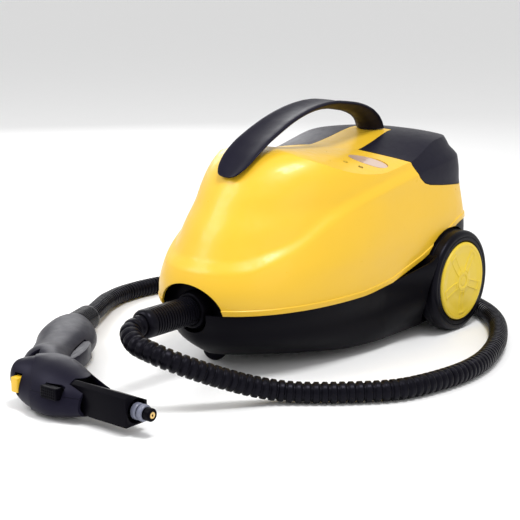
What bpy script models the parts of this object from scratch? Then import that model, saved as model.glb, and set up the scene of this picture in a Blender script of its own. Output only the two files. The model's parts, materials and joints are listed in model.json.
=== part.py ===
"""Canister steam cleaner with its steam hose and steam gun.

Lengths below are in millimetres and MM turns them into Blender's metres.
X points to the machine's right-hand flank, -Y to its nose, Z up, and the floor is Z = 0.
"""

import math

import bmesh
import bpy
from mathutils import Matrix, Vector

MM = 0.001
GAP = 0.4          # between pieces that touch or sit in each other
RUN_GAP = 0.1      # radial clearance of a pin or an axle in its bore
SIDES = 32         # facets of an ordinary round piece

# ---------------------------------------------------------------- machine body
WALL = 3.0                  # every moulded wall
COLUMNS = 44                # facets around the body
TAIL_POWER = 6.0            # squareness of the tail in plan
# height, half-width, nose reach, tail reach, and the two powers of the nose's plan outline
HULL = (
    (12.0, 114.0, 190.0, 190.0, 1.50, 1.80),
    (24.0, 118.0, 214.0, 198.0, 1.55, 1.85),
    (40.0, 119.0, 234.0, 202.0, 1.80, 2.15),
    (60.0, 119.0, 242.0, 205.0, 2.05, 2.45),
    (80.0, 120.0, 246.0, 207.0, 2.20, 2.60),
    (95.0, 121.0, 247.0, 211.5, 2.20, 2.60),
    (110.0, 121.5, 244.5, 211.5, 2.20, 2.50),
    (128.0, 122.0, 237.5, 211.5, 2.10, 2.40),
    (150.0, 121.0, 225.5, 209.5, 2.00, 2.20),
    (170.0, 119.0, 213.5, 205.5, 1.95, 2.10),
    (190.0, 117.0, 198.5, 201.5, 1.90, 2.00),
    (210.0, 116.0, 184.5, 200.5, 1.90, 2.00),
    (228.0, 113.0, 169.5, 197.5, 1.90, 2.00),
    (242.0, 107.0, 152.5, 192.5, 1.95, 2.00),
    (250.0, 102.0, 134.5, 188.5, 2.00, 2.00),
    (256.0, 97.0, 108.5, 178.0, 2.00, 2.00),
    (262.0, 88.0, 82.5, 168.0, 2.00, 2.00),
)
# the middle line of the top panel: a hand hollow under the handle, rising to the rear lid
CROWN = ((-250.0, 262.0), (-104.0, 255.5), (-60.0, 249.5), (0.0, 243.5), (38.0, 241.8),
         (75.0, 247.5), (112.0, 255.5), (130.0, 257.0), (150.0, 256.5), (170.0, 254.5), (215.0, 247.0))
CROWN_FALL = ((-250.0, 0.0021), (-60.0, 0.0021), (0.0, 0.0018), (56.0, 0.00135), (170.0, 0.00085),
              (215.0, 0.00085))
# lower edge of the yellow shell, as height over Y: level at the nose, sweeping up over the wheels
SHELL_EDGE = ((-250.0, 80.0), (-60.0, 80.5), (-23.0, 84.0), (21.0, 90.0), (66.0, 104.0),
              (113.0, 122.0), (137.0, 132.0), (162.0, 139.0), (215.0, 141.0))
SHELF = 5.0                 # how far the flank steps out below the swoosh line
SHELF_BAND = 19.0           # height over which it steps
SHELF_LINE = ((-250.0, 140.0), (-210.0, 142.0), (-186.0, 150.0), (-148.0, 164.0), (-104.0, 187.0),
              (-60.0, 203.0), (-13.0, 213.0), (60.0, 226.0), (215.0, 240.0))
FLOOR_REAR = 13.0           # underside height behind and under the nose
FLOOR_NOSE = 21.0
FLARE = 19.0                # how far the chassis bulges out in front of a rear wheel
EDGE_GAP = 0.8              # shadow line between shell and chassis
MID_Y = 20.0                # where the columns of the top and the bottom meet

# ---------------------------------------------------------------- rear lid, deck and filler
LID_FRONT = 38.4
LID_SIDE = ((LID_FRONT, 300.0), (LID_FRONT, 240.8), (56.0, 228.0), (60.0, 217.0), (66.0, 208.0),
            (76.0, 200.5),
            (90.0, 196.5), (120.0, 192.5), (172.0, 187.0), (240.0, 185.0), (240.0, 300.0))
LID_GAP = 0.7
TONGUE_FRONT_HALF = 39.0    # half-width of the yellow tongue at the lid's front edge
TONGUE_REAR_HALF = 30.0
TONGUE_END = 128.0
HINGE_Y = 194.5
HINGE_Z = 189.0
HINGE_R = 2.6
HINGE_HALF = 62.0           # half-length of the lid's hinge barrel
SWEEP_R = 9.6               # reach of the lid's rear edge about its hinge, with clearance
DECK_Z = 180.0
DECK_T = 2.6
FILLER_Y = 156.0
NECK_R = 15.0
NECK_BORE = 11.5
CAP_R = 18.0
CAP_TOP = 222.0

# ---------------------------------------------------------------- indicator lens on the top panel
LENS = (77.0, 6.0)           # its middle in plan
LENS_HALF = (25.0, 16.0)
LENS_TURN = 23.0

# ---------------------------------------------------------------- handle
HANDLE_TOP = ((-174.0, 229.0), (-163.0, 239.0), (-146.0, 253.5), (-125.0, 266.5), (-102.0, 277.0),
              (-80.0, 286.0),
              (-60.0, 292.5), (-40.0, 297.5), (-20.0, 301.0), (0.0, 303.0), (22.0, 303.0), (43.0, 300.5),
              (64.0, 297.5), (83.0, 292.5), (99.0, 286.0), (112.0, 277.0), (120.0, 267.5), (125.0, 256.0))
HANDLE_HALF = ((-174.0, 13.0), (-163.0, 22.0), (-140.0, 26.5), (-60.0, 24.5), (20.0, 22.5), (125.0, 23.0))
HANDLE_THICK = ((-174.0, 5.0), (-146.0, 8.0), (-100.0, 10.0), (-20.0, 11.0), (50.0, 13.0), (125.0, 15.0))
HANDLE_DISH = 3.0

# ---------------------------------------------------------------- wheels
WHEEL_Y = 135.0
TYRE_R = 66.0
TYRE_INNER_X = 112.0
TYRE_OUTER_X = 140.0
RIM_R = 52.0
HUB_CAP_R = 51.0
HUB_CAP_T = 5.0
AXLE_R = 5.0
WELL_GAP = 3.5
WELL_X = 107.0
CASTER_Y = -150.0
CASTER_R = 14.5
CASTER_TRAIL = 29.0
CASTER_WIDTH = 10.0
CASTER_TURN = 219.3         # compass of the trailing wheel about +Z, in degrees from +X
CASTER_HUB_R = 13.0
CASTER_PIN_R = 2.0
POCKET_TOP = 36.0

STEM_R = 4.0
SCREW_R = 2.0
SCREW_HEAD_R = 4.2
GLAND = (-62.0, 203.0, 52.0)  # mains cable inlet, low in the tail
GLAND_R = 7.0

# ---------------------------------------------------------------- boiler and steam works
BOILER_R = 50.0
BOILER_Z = 124.0
BOILER_FRONT = -15.0
BOILER_REAR = 168.0
BOILER_WALL = 1.6
HEATER_R = 22.0
HEATER_LONG = 120.0
CRADLE_T = 3.0
CRADLE_HALF = 34.0

VALVE = (-30.0, -110.0, 72.0)
NECK_TOP = 200.0

# ---------------------------------------------------------------- steam outlet and hose
ARCH_HALF = 47.0
ARCH_HEIGHT = 32.5
OUTLET_Z = 80.0
BEZEL_Y = -222.0
BEZEL_T = 3.0
COLLAR_R = 22.5
HOSE_R = 11.75
SLEEVE_R = 16.8
SLEEVE_END = -318.0
HOSE_START = -219.0
HOSE_ROUTE = (
    (0.0, HOSE_START, OUTLET_Z), (0.0, -250.0, OUTLET_Z), (0.0, -290.0, OUTLET_Z),
    (0.0, SLEEVE_END, OUTLET_Z),
    (3.0, -337.0, 76.5), (24.0, -350.0, 70.0), (50.0, -349.5, 64.5), (68.0, -341.0, 57.5),
    (86.0, -319.0, 45.0),
    (104.0, -290.0, 31.0), (118.0, -269.0, 22.0), (136.0, -247.0, 15.0), (160.0, -227.0, 12.4),
    (197.0, -195.0, 12.4), (234.0, -150.0, 12.4), (253.0, -80.0, 12.4), (254.0, -20.0, 12.4),
    (240.0, 40.0, 12.4),
    (216.0, 98.0, 12.4), (177.0, 162.0, 12.4), (128.0, 208.0, 12.4), (55.0, 245.0, 12.4),
    (-40.0, 255.0, 12.4),
    (-135.0, 233.0, 12.4), (-215.0, 178.0, 12.4), (-270.0, 105.0, 12.4), (-301.0, 25.0, 12.4),
    (-304.0, -40.0, 12.6), (-290.0, -86.0, 14.0), (-273.0, -115.0, 16.5),
)
HOSE_STEP = 12.0            # spacing of the hose's own points in its first tight bend, a third of that after it
HOSE_TIGHT = 24
GUN_SLEEVE_END = (-231.0, -181.0, 19.4)

# ---------------------------------------------------------------- steam gun, lying on its side
GUN_AXIS_Y = -411.0
GUN_Z = 28.6
GUN_WALL = 2.6
GUN_SIDES = 22
CAP_STEP = 1.6              # how far the rear cap stands back from the shell
# along X: half-width in Y, half-height in Z, sideways shift, middle height, and how far the section leans
# away from the near side as it rises
HEAD = ((-88.0, 10.0, 11.0, -10.5, 35.5, 0.1), (-85.0, 15.5, 16.5, -9.5, 34.5, 0.12),
        (-78.0, 20.5, 20.5, -7.5, 32.5, 0.2), (-69.0, 24.5, 24.2, -5.0, 30.8, 0.3),
        (-56.0, 28.5, 26.8, -2.0, 29.0, 0.4),
        (-38.0, 29.5, 26.8, -3.0, 28.4, 0.45), (-18.0, 27.5, 25.0, -5.0, 26.6, 0.45),
        (4.0, 22.5, 20.5, -5.0, 25.2, 0.4),
        (20.0, 18.8, 17.6, -3.2, 24.8, 0.3), (38.0, 16.5, 15.2, -1.5, 25.0, 0.2))
HEAD_POWER = 2.3
HEAD_FRONT = ((17.0, -450.0), (34.0, -375.0))   # the oblique line in plan where the head's shell ends
SEAM = (-52.0, -432.0)      # where the rear cap's seam crosses the near side
SEAM_RUN = (-0.633, 0.774)  # the seam's direction in plan
SEAM_LONG = 56.0
GRIP_START = (-62.0, -392.0)
GRIP_AHEAD = (-0.65, 0.76)  # the grip's direction in plan
# distance along the grip: half-width, half-height, sideways shift
GRIP = ((0.0, 22.0, 24.0, -2.0), (30.0, 27.5, 26.0, -12.0), (60.0, 28.5, 21.5, -10.0),
        (85.0, 31.0, 21.0, -7.0),
        (115.0, 34.0, 22.5, -4.0), (145.0, 36.0, 23.0, -4.0), (172.0, 33.0, 22.0, -4.5),
        (196.0, 27.5, 20.0, -5.0),
        (208.0, 22.0, 18.2, -4.0), (214.0, 17.6, 17.0, -3.0))
GRIP_DROP = 5.0             # how much lower the grip's axis is at its far end
SLEEVE_GUN_Z = 23.6
CONNECTOR = ((22.0, -427.0, 10.0), (84.0, -396.0, 44.0))
NOZZLE_Z = 25.0
NOZZLE_R = 8.0
BARREL_END = 107.0
# trigger blade and the room for it, as distances along the grip and to its inner side
TRIGGER = ((22.0, 7.0), (28.0, 17.0), (43.0, 23.6), (66.0, 29.0), (90.0, 31.5), (99.0, 28.0), (97.0, 21.0),
           (62.0, 15.0), (36.0, 6.0))
TRIGGER_ROOM = ((18.5, 3.0), (24.0, 24.0), (42.0, 34.0), (66.0, 42.0), (102.0, 44.0), (104.0, 26.0),
                (103.0, 6.0),
                (60.0, -2.0), (34.0, -2.0))
TRIGGER_HALF = 9.0
TRIGGER_PIN = (29.0, 11.0)
TRIGGER_PIN_R = 1.6
BUTTON = (-12.0, -445.5, 32.0)   # middle of the release button's outer face
BUTTON_HALF = (12.0, 6.5)
SWITCH = (76.0, -9.0)
LOCK = ((-75.0, -442.5, 19.5), (-64.5, -431.0, 36.5))
LOCK_TRAVEL = 3.0

COLOURS = {
    "yellow": ((0.83, 0.52, 0.045), 0.35, 0.0),
    "lime_yellow": ((0.78, 0.60, 0.04), 0.35, 0.0),
    "black": ((0.012, 0.011, 0.016), 0.45, 0.0),
    "slate": ((0.045, 0.045, 0.068), 0.4, 0.0),
    "rubber": ((0.015, 0.014, 0.018), 0.75, 0.0),
    "lens": ((0.62, 0.45, 0.40), 0.1, 0.0),
    "steel": ((0.62, 0.62, 0.63), 0.3, 1.0),
    "brass": ((0.72, 0.50, 0.20), 0.3, 1.0),
    "cream": ((0.75, 0.72, 0.62), 0.5, 0.0),
    "red": ((0.55, 0.05, 0.03), 0.4, 0.0),
    "grey": ((0.25, 0.27, 0.33), 0.4, 0.0),
}


# ---------------------------------------------------------------- small helpers
def ramp(value, start, stop):
    """Smooth 0 to 1 as value goes from start to stop."""
    share = min(1.0, max(0.0, (value - start) / (stop - start)))
    return share * share * (3.0 - 2.0 * share)


def along(table, value, column=1):
    """A smooth reading of one column of a table whose first column rises."""
    last = len(table) - 1
    if value <= table[0][0]:
        return table[0][column]
    if value >= table[last][0]:
        return table[last][column]
    i = next(k for k in range(last) if value <= table[k + 1][0])
    x0, x1 = table[i][0], table[i + 1][0]
    y0, y1 = table[i][column], table[i + 1][column]
    before, after = table[max(i - 1, 0)], table[min(i + 2, last)]
    slope0 = (y1 - before[column]) / (x1 - before[0])
    slope1 = (after[column] - y0) / (after[0] - x0)
    t = (value - x0) / (x1 - x0)
    width = x1 - x0
    return ((2 * t**3 - 3 * t**2 + 1) * y0 + (t**3 - 2 * t**2 + t) * width * slope0
            + (3 * t**2 - 2 * t**3) * y1 + (t**3 - t**2) * width * slope1)


def material(name):
    found = bpy.data.materials.get(name)
    if found:
        return found
    colour, roughness, metallic = COLOURS[name]
    made = bpy.data.materials.new(name)
    made.use_nodes = True
    shader = made.node_tree.nodes["Principled BSDF"]
    shader.inputs["Base Color"].default_value = (*colour, 1.0)
    shader.inputs["Roughness"].default_value = roughness
    shader.inputs["Metallic"].default_value = metallic
    made.diffuse_color = (*colour, 1.0)
    return made


def solid(name, points, faces, colour=None, origin=(0.0, 0.0, 0.0)):
    """A mesh object from points in millimetres. With no colour it is a cutter."""
    mesh = bpy.data.meshes.new(name)
    start = Vector(origin)
    mesh.from_pydata([(Vector(p) - start) * MM for p in points], [], faces)
    grid = bmesh.new()
    grid.from_mesh(mesh)
    bmesh.ops.remove_doubles(grid, verts=grid.verts, dist=0.00001 * MM)
    bmesh.ops.recalc_face_normals(grid, faces=grid.faces)
    grid.to_mesh(mesh)
    grid.free()
    made = bpy.data.objects.new(name, mesh)
    made.location = start * MM
    bpy.context.collection.objects.link(made)
    if colour:
        mesh.materials.append(material(colour))
        mesh.shade_smooth()
        mesh.set_sharp_from_angle(angle=math.radians(35))
    else:
        made.hide_render = True
        made.display_type = "WIRE"
    return made


def combine(target, other, operation="DIFFERENCE"):
    step = target.modifiers.new(operation.lower() + "_" + other.name, "BOOLEAN")
    step.operation = operation
    step.solver = "EXACT"
    step.object = other
    return target


def bundle(name, cutters):
    """Cutters that don't touch each other, joined into one."""
    grid = bmesh.new()
    for cutter in cutters:
        start = len(grid.verts)
        grid.from_mesh(cutter.data)
        grid.verts.ensure_lookup_table()
        bmesh.ops.translate(grid, verts=grid.verts[start:], vec=cutter.location)
        bpy.data.objects.remove(cutter)
    mesh = bpy.data.meshes.new(name)
    grid.to_mesh(mesh)
    grid.free()
    made = bpy.data.objects.new(name, mesh)
    made.hide_render = True
    made.display_type = "WIRE"
    bpy.context.collection.objects.link(made)
    return made


def grid_faces(rows, count, closed=True):
    """Quads between successive rows of count points each."""
    wide = count if closed else count - 1
    return [(r * count + c, r * count + (c + 1) % count, (r + 1) * count + (c + 1) % count,
             (r + 1) * count + c)
            for r in range(rows - 1) for c in range(wide)]


def lofted(name, rings, colour=None, origin=(0.0, 0.0, 0.0), first=None, last=None):
    """A closed solid through rings of equal length. first and last are the end points, or the rings' middles."""
    count = len(rings[0])
    points = [p for ring in rings for p in ring]
    faces = grid_faces(len(rings), count)
    for ring, row, pole in ((rings[0], 0, first), (rings[-1], len(rings) - 1, last)):
        middle = pole or tuple(sum(p[k] for p in ring) / count for k in range(3))
        points.append(middle)
        tip = len(points) - 1
        faces += [(row * count + c, row * count + (c + 1) % count, tip) for c in range(count)]
    return solid(name, points, faces, colour, origin)


def axes_of(direction):
    forward = Vector(direction).normalized()
    side = forward.orthogonal().normalized() if abs(forward.z) > 0.9 else Vector((0, 0,
            1)).cross(forward).normalized()
    return forward, side, forward.cross(side)


def circle(centre, direction, radius, sides=SIDES, flat=1.0):
    _, side, up = axes_of(direction)
    middle = Vector(centre)
    return [tuple(middle + side * (radius * math.cos(a)) + up * (radius * flat * math.sin(a)))
            for a in (2 * math.pi * (k + 0.37) / sides for k in range(sides))]


def turned(name, centre, direction, profile, colour=None, origin=None, sides=SIDES):
    """A turned solid: profile is a list of (radius, distance along the axis) from one end to the other."""
    forward = Vector(direction).normalized()
    base = Vector(centre)
    rings = [circle(base + forward * h, direction, r, sides) for r, h in profile]
    return lofted(name, rings, colour, origin or tuple(centre))


def ring_solid(name, centre, direction, profile, colour=None, origin=None, sides=SIDES):
    """A turned ring: profile is a closed loop of (radius, distance along the axis)."""
    forward = Vector(direction).normalized()
    base = Vector(centre)
    rings = [circle(base + forward * h, direction, r, sides) for r, h in profile]
    points = [p for ring in rings + rings[:1] for p in ring]
    return solid(name, points, grid_faces(len(rings) + 1, sides), colour, origin or tuple(centre))


def rod(name, start, end, radius, colour=None, origin=None, sides=SIDES):
    span = Vector(end) - Vector(start)
    return turned(name, start, span, [(radius, 0.0), (radius, span.length)], colour, origin, sides)


def pipe(name, start, end, radius, bore, colour, sides=SIDES):
    span = Vector(end) - Vector(start)
    return ring_solid(name, start, span, [(bore, 0.0), (radius, 0.0), (radius, span.length),
                                          (bore, span.length)],
                      colour, None, sides)


def block(name, low, high, colour=None, origin=(0.0, 0.0, 0.0)):
    points = [(x, y, z) for x in (low[0], high[0]) for y in (low[1], high[1]) for z in (low[2], high[2])]
    faces = [(0, 1, 3, 2), (4, 6, 7, 5), (0, 4, 5, 1), (2, 3, 7, 6), (0, 2, 6, 4), (1, 5, 7, 3)]
    return solid(name, points, faces, colour, origin)


def prism(name, outline, start, end, axis, colour=None):
    """An outline of two coordinates, swept along the third from start to end."""
    order = {"X": lambda a, b, s: (s, a, b), "Y": lambda a, b, s: (a, s, b), "Z": lambda a, b,
             s: (a, b, s)}[axis]
    count = len(outline)
    points = [order(a, b, s) for s in (start, end) for a, b in outline]
    faces = grid_faces(2, count) + [tuple(range(count)), tuple(range(count, 2 * count))]
    return solid(name, points, faces, colour)


def smooth_route(route, step):
    """Points about one step apart on a smooth curve through the route."""
    points = [Vector(p) for p in route]
    ends = [points[0] * 2 - points[1], *points, points[-1] * 2 - points[-2]]
    fine = []
    for a, b, c, d in zip(ends, ends[1:], ends[2:], ends[3:]):
        for k in range(12):
            t = k / 12
            fine.append(0.5 * (2 * b + (c - a) * t + (2 * a - 5 * b + 4 * c - d) * t**2
                               + (3 * b - a - 3 * c + d) * t**3))
    fine.append(points[-1])
    spans = [(q - p).length for p, q in zip(fine, fine[1:])]
    count = max(2, round(sum(spans) / step))
    wanted = [sum(spans) * k / count for k in range(count + 1)]
    found, passed, i = [], 0.0, 0
    for distance in wanted:
        while i < len(spans) - 1 and passed + spans[i] < distance:
            passed += spans[i]
            i += 1
        found.append(fine[i].lerp(fine[i + 1], min(1.0, (distance - passed) / spans[i])))
    return found


def tube_curve(name, points, radius, colour, resolution=3):
    data = bpy.data.curves.new(name, "CURVE")
    data.dimensions = "3D"
    data.bevel_depth = radius * MM
    data.bevel_resolution = resolution
    data.use_fill_caps = True
    line = data.splines.new("POLY")
    line.points.add(len(points) - 1)
    for target, p in zip(line.points, points):
        target.co = (p[0] * MM, p[1] * MM, p[2] * MM, 1.0)
    data.materials.append(material(colour))
    made = bpy.data.objects.new(name, data)
    bpy.context.collection.objects.link(made)
    return made


# ---------------------------------------------------------------- the body's surface
def crown(x, y):
    return along(CROWN, y) - along(CROWN_FALL, y) * x * x


def underside(y):
    return FLOOR_REAR + (FLOOR_NOSE - FLOOR_REAR) * ramp(-y, 60.0, 180.0)


def flare(y, z):
    reach = ramp(y, 5.0, 80.0) * (1.0 - ramp(y, 112.0, 158.0))
    return FLARE * reach * ramp(z, 15.0, 62.0) * (1.0 - ramp(z, 98.0, 130.0))


def outline(turn, z, inset=0.0, flared=False):
    """The body's plan at one height: turn 0 is the nose tip, half a turn the tail."""
    half, nose, tail, width_power, length_power = (along(HULL, z, k) for k in (1, 2, 3, 4, 5))
    sine, cosine = math.sin(turn), math.cos(turn)
    rear = cosine < 0
    y = (tail if rear else -nose) * abs(cosine) ** (2 / (TAIL_POWER if rear else length_power))
    step = SHELF * ramp(along(SHELF_LINE, y) - z, 0.0, SHELF_BAND) - SHELF * ramp(90.0 - z, 0.0, 40.0) - inset
    x = (half - SHELF + step) * math.copysign(abs(sine) ** (2 / (TAIL_POWER if rear else width_power)), sine)
    y = (y / (tail if rear else nose)) * ((tail if rear else nose) - SHELF + step)
    if flared and abs(sine) > 1e-6:
        x += math.copysign(flare(y, z), sine) * min(1.0, abs(x) / 60.0)
    return x, y


def edge_height(turn, drop=0.0):
    """Height of the shell's lower edge on this column."""
    z = 90.0
    for _ in range(12):
        z = along(SHELL_EDGE, outline(turn, z)[1]) - drop
    return z


def top_height(turn, inset=0.0):
    """Where this column's side meets the crowned top."""
    low, high = 150.0, 262.0
    for _ in range(30):
        z = (low + high) / 2
        x, y = outline(turn, z, inset)
        if z < crown(x, y) - inset:
            low = z
        else:
            high = z
    return low


def turns():
    return [2 * math.pi * k / COLUMNS for k in range(COLUMNS)]


def side_row(share, lows, highs, inset, flared=False):
    row = []
    for turn, low, high in zip(turns(), lows, highs):
        z = low + (high - low) * share
        row.append((*outline(turn, z, inset, flared), z))
    return row


def top_row(share, edge, inset):
    """A row of the crowned top, drawn in from the edge towards the middle."""
    row = []
    for x, y, z in edge:
        inner = (x * (1 - share), MID_Y + (y - MID_Y) * (1 - share))
        drop = (crown(x, y) - inset - z) * (1 - share) ** 4
        row.append((*inner, crown(*inner) - inset - drop))
    return row


def dome(inset, lows, rows=9):
    """Rows from the low edge up the sides and over the top, and the top's middle."""
    highs = [top_height(turn, inset) for turn in turns()]
    sides = [side_row((k / rows) ** 0.9, lows, highs, inset) for k in range(rows + 1)]
    tops = [top_row(share, sides[-1], inset) for share in (0.2, 0.5, 0.8)]
    return sides + tops, (0.0, MID_Y, crown(0.0, MID_Y) - inset)


def skin(name, lows, colour, outer=0.0, inner=WALL):
    """A wall that follows the body from a low edge up over the top."""
    outside, outer_tip = dome(outer, lows)
    inside, inner_tip = dome(inner, lows)
    rows = outside[::-1] + inside
    return lofted(name, rows, colour, first=outer_tip, last=inner_tip)


def body_core(name, inset, low):
    """A solid that fills the body from one height up, as a cutter."""
    rows, tip = dome(inset, [low] * COLUMNS)
    return lofted(name, rows, first=(0.0, MID_Y, low), last=tip)


# ---------------------------------------------------------------- body pieces
def lid_region(name, grow):
    """What the rear lid covers: the side outline swept across, less the tongue."""
    sides = [(y - grow if y < 240 else y, z - grow if z < 300 else z) for y, z in LID_SIDE]
    region = prism(name, sides, -160.0, 160.0, "X")
    front, rear = TONGUE_FRONT_HALF - grow, TONGUE_REAR_HALF - grow
    corners = [(-front, LID_FRONT - 3), (front, LID_FRONT - 3), (rear, TONGUE_END - grow),
               (-rear, TONGUE_END - grow)]
    tongue = prism(name + "_tongue", corners, 150.0, 310.0, "Z")
    return combine(region, tongue)


def upper_shell():
    lows = [edge_height(turn) for turn in turns()]
    shell = skin("upper_shell", lows, "yellow")
    combine(shell, lid_region("cut_lid_opening", LID_GAP))
    arch = [(ARCH_HALF * math.cos(a), 79.0 + (ARCH_HEIGHT + 1.0) * math.sin(a))
            for a in (math.pi * k / 16 for k in range(17))]
    combine(shell, prism("cut_arch", arch + [(-ARCH_HALF, 60.0), (ARCH_HALF, 60.0)], -270.0, -150.0, "Y"))
    combine(shell, oval("cut_lens", LENS, LENS_HALF, LENS_TURN, 200.0, 260.0))
    combine(shell, block("cut_hinge_room", (-HINGE_HALF - 3, HINGE_Y - 13, HINGE_Z - 6),
                         (HINGE_HALF + 3, 230, 200)))
    combine(shell, lid_sweep("cut_lid_sweep"))
    rooms = [rod("tyre_room", (side * WELL_X, WHEEL_Y, TYRE_R), (side * 180.0, WHEEL_Y, TYRE_R),
                 TYRE_R + WELL_GAP)
             for side in (-1, 1)]
    return combine(shell, bundle("cut_tyre_rooms", rooms))


def oval(name, middle, halves, turn_deg, low, high, colour=None, follow=False):
    """An oval column. With follow, low and high are depths under the crowned top."""
    turn = math.radians(turn_deg)
    rings = []
    for z in (low, high):
        ring = []
        for k in range(28):
            a = 2 * math.pi * k / 28
            u, v = halves[0] * math.cos(a), halves[1] * math.sin(a)
            x = middle[0] + u * math.cos(turn) - v * math.sin(turn)
            y = middle[1] + u * math.sin(turn) + v * math.cos(turn)
            ring.append((x, y, crown(x, y) - z if follow else z))
        rings.append(ring)
    return lofted(name, rings, colour)


def lid_sweep(name):
    """The room that the lid's rear edge swings through behind and below its hinge."""
    arc = [math.radians(-106 + 7 * k) for k in range(17)]
    corners = [(HINGE_Y + SWEEP_R * math.cos(a), HINGE_Z + SWEEP_R * math.sin(a)) for a in arc]
    corners += [(HINGE_Y + SWEEP_R, HINGE_Z + 8.0), (corners[0][0], HINGE_Z + 8.0)]
    return prism(name, corners, -131.0, 131.0, "X")


def rear_lid():
    blank = skin("rear_lid", [165.0] * COLUMNS, "slate")
    combine(blank, lid_region("keep_lid", 0.0), "INTERSECT")
    barrel = rod("lid_barrel", (-HINGE_HALF, HINGE_Y, HINGE_Z), (HINGE_HALF, HINGE_Y, HINGE_Z),
                 HINGE_R + 1.6, sides=16)
    combine(blank, barrel, "UNION")
    bore = rod("cut_lid_bore", (-200, HINGE_Y, HINGE_Z), (200, HINGE_Y, HINGE_Z), HINGE_R + RUN_GAP)
    combine(blank, bore)
    set_origin(blank, (0.0, HINGE_Y, HINGE_Z))
    return blank


def set_origin(made, origin):
    """Moves the object's origin without moving its shape."""
    shift = Vector(origin) * MM - made.location
    made.data.transform(Matrix.Translation(-shift))
    made.location += shift


def rear_deck():
    """The inner deck under the lid, with the riser that closes the front of the lid's well."""
    low, high = DECK_Z, DECK_Z + DECK_T
    bend = [(34.0, low), (230.0, low), (230.0, high), (34.0 + DECK_T, high), (34.0 + DECK_T, 300.0),
            (34.0, 300.0)]
    deck = prism("rear_deck", bend, -140.0, 140.0, "X", "black")
    combine(deck, body_core("keep_deck", WALL + 1.8, 120.0), "INTERSECT")
    neck_hole = rod("cut_neck_hole", (0, FILLER_Y, low - 9), (0, FILLER_Y, high + 9), NECK_R + GAP)
    combine(deck, neck_hole)
    hinge_room = block("cut_deck_hinge", (-150.0, HINGE_Y - 10, low - 20), (150.0, 240, high + 90))
    return combine(deck, hinge_room)


def hinge_pin():
    """A pin longer than the lid's barrel, its ends held in the shell's tail."""
    reach = HINGE_HALF + 2.2
    return rod("lid_hinge_pin", (-reach, HINGE_Y, HINGE_Z), (reach, HINGE_Y, HINGE_Z), HINGE_R, "steel")


def hull(name, inset, rise, colour=None):
    """The chassis filled solid up to its rim. The inside is drawn in by inset and rises above the rim."""
    rims = [edge_height(turn, EDGE_GAP) + rise for turn in turns()]
    floors = [underside(outline(turn, 20.0)[1]) + inset for turn in turns()]
    rows = [side_row(k / 8, rims, floors, inset, flared=True) for k in range(9)]
    for share in (0.85, 0.5):
        sole = [(x * share, MID_Y + (y - MID_Y) * share) for x, y, _ in rows[8]]
        rows.append([(x, y, underside(y) + inset) for x, y in sole])
    return lofted(name, rows, colour, first=(0.0, MID_Y, 82.0 + rise), last=(0.0, MID_Y, FLOOR_REAR + inset))


def recesses(name, wall):
    """Both wheel wells and the caster's pocket, as cutters grown by wall."""
    made = []
    for side in (-1, 1):
        ends = [(side * x, WHEEL_Y, TYRE_R) for x in (WELL_X - wall, 180.0)]
        made.append(rod(f"{name}_well_{side}", *ends, TYRE_R + WELL_GAP + wall))
    made.append(rod(name + "_pocket", (0, CASTER_Y, -9), (0, CASTER_Y, POCKET_TOP + wall),
                    pocket_radius() + wall))
    return made


def chassis():
    """The tub: a wall and floor with a wheel well on either side and a pocket for the caster."""
    tub = hull("chassis_base", 0.0, 0.0, "black")
    inside = hull("cut_chassis_inside", WALL, 25.0)
    combine(inside, bundle("recess_walls", recesses("wall", WALL)))
    combine(tub, inside)
    cutters = recesses("room", 0.0)
    cutters.append(rod("hole_nose", (0, -280, OUTLET_Z), (0, BEZEL_Y + 8, OUTLET_Z), COLLAR_R + 4.5))
    cutters.append(rod("hole_gland", (GLAND[0], 150, GLAND[2]), (GLAND[0], 240, GLAND[2]), GLAND_R + GAP))
    for x, y in screw_places():
        cutters.append(rod("hole_screw", (x, y, 5), (x, y, 30), SCREW_R + GAP, sides=16))
    combine(tub, bundle("cut_chassis_rooms", cutters))
    axle = rod("hole_axle", (-170, WHEEL_Y, TYRE_R), (170, WHEEL_Y, TYRE_R), AXLE_R + GAP)
    stem = rod("hole_stem", (0, CASTER_Y, POCKET_TOP - 1), (0, CASTER_Y, POCKET_TOP + 9), STEM_R + RUN_GAP)
    combine(tub, bundle("cut_chassis_bores", [axle, stem]))


def pocket_radius():
    return CASTER_TRAIL + CASTER_R + 2.0


def screw_places():
    return [(x, y) for y in (-40.0, 176.0) for x in (-72.0, 72.0)]


def chassis_screws():
    for k, (x, y) in enumerate(screw_places(), 1):
        turned(f"chassis_screw_{k}", (x, y, FLOOR_REAR - GAP), (0, 0, 1),
               [(SCREW_HEAD_R, -2.2), (SCREW_HEAD_R, 0.0), (SCREW_R, 0.0), (SCREW_R, 14.0)], "steel",
               sides=16)


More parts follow.
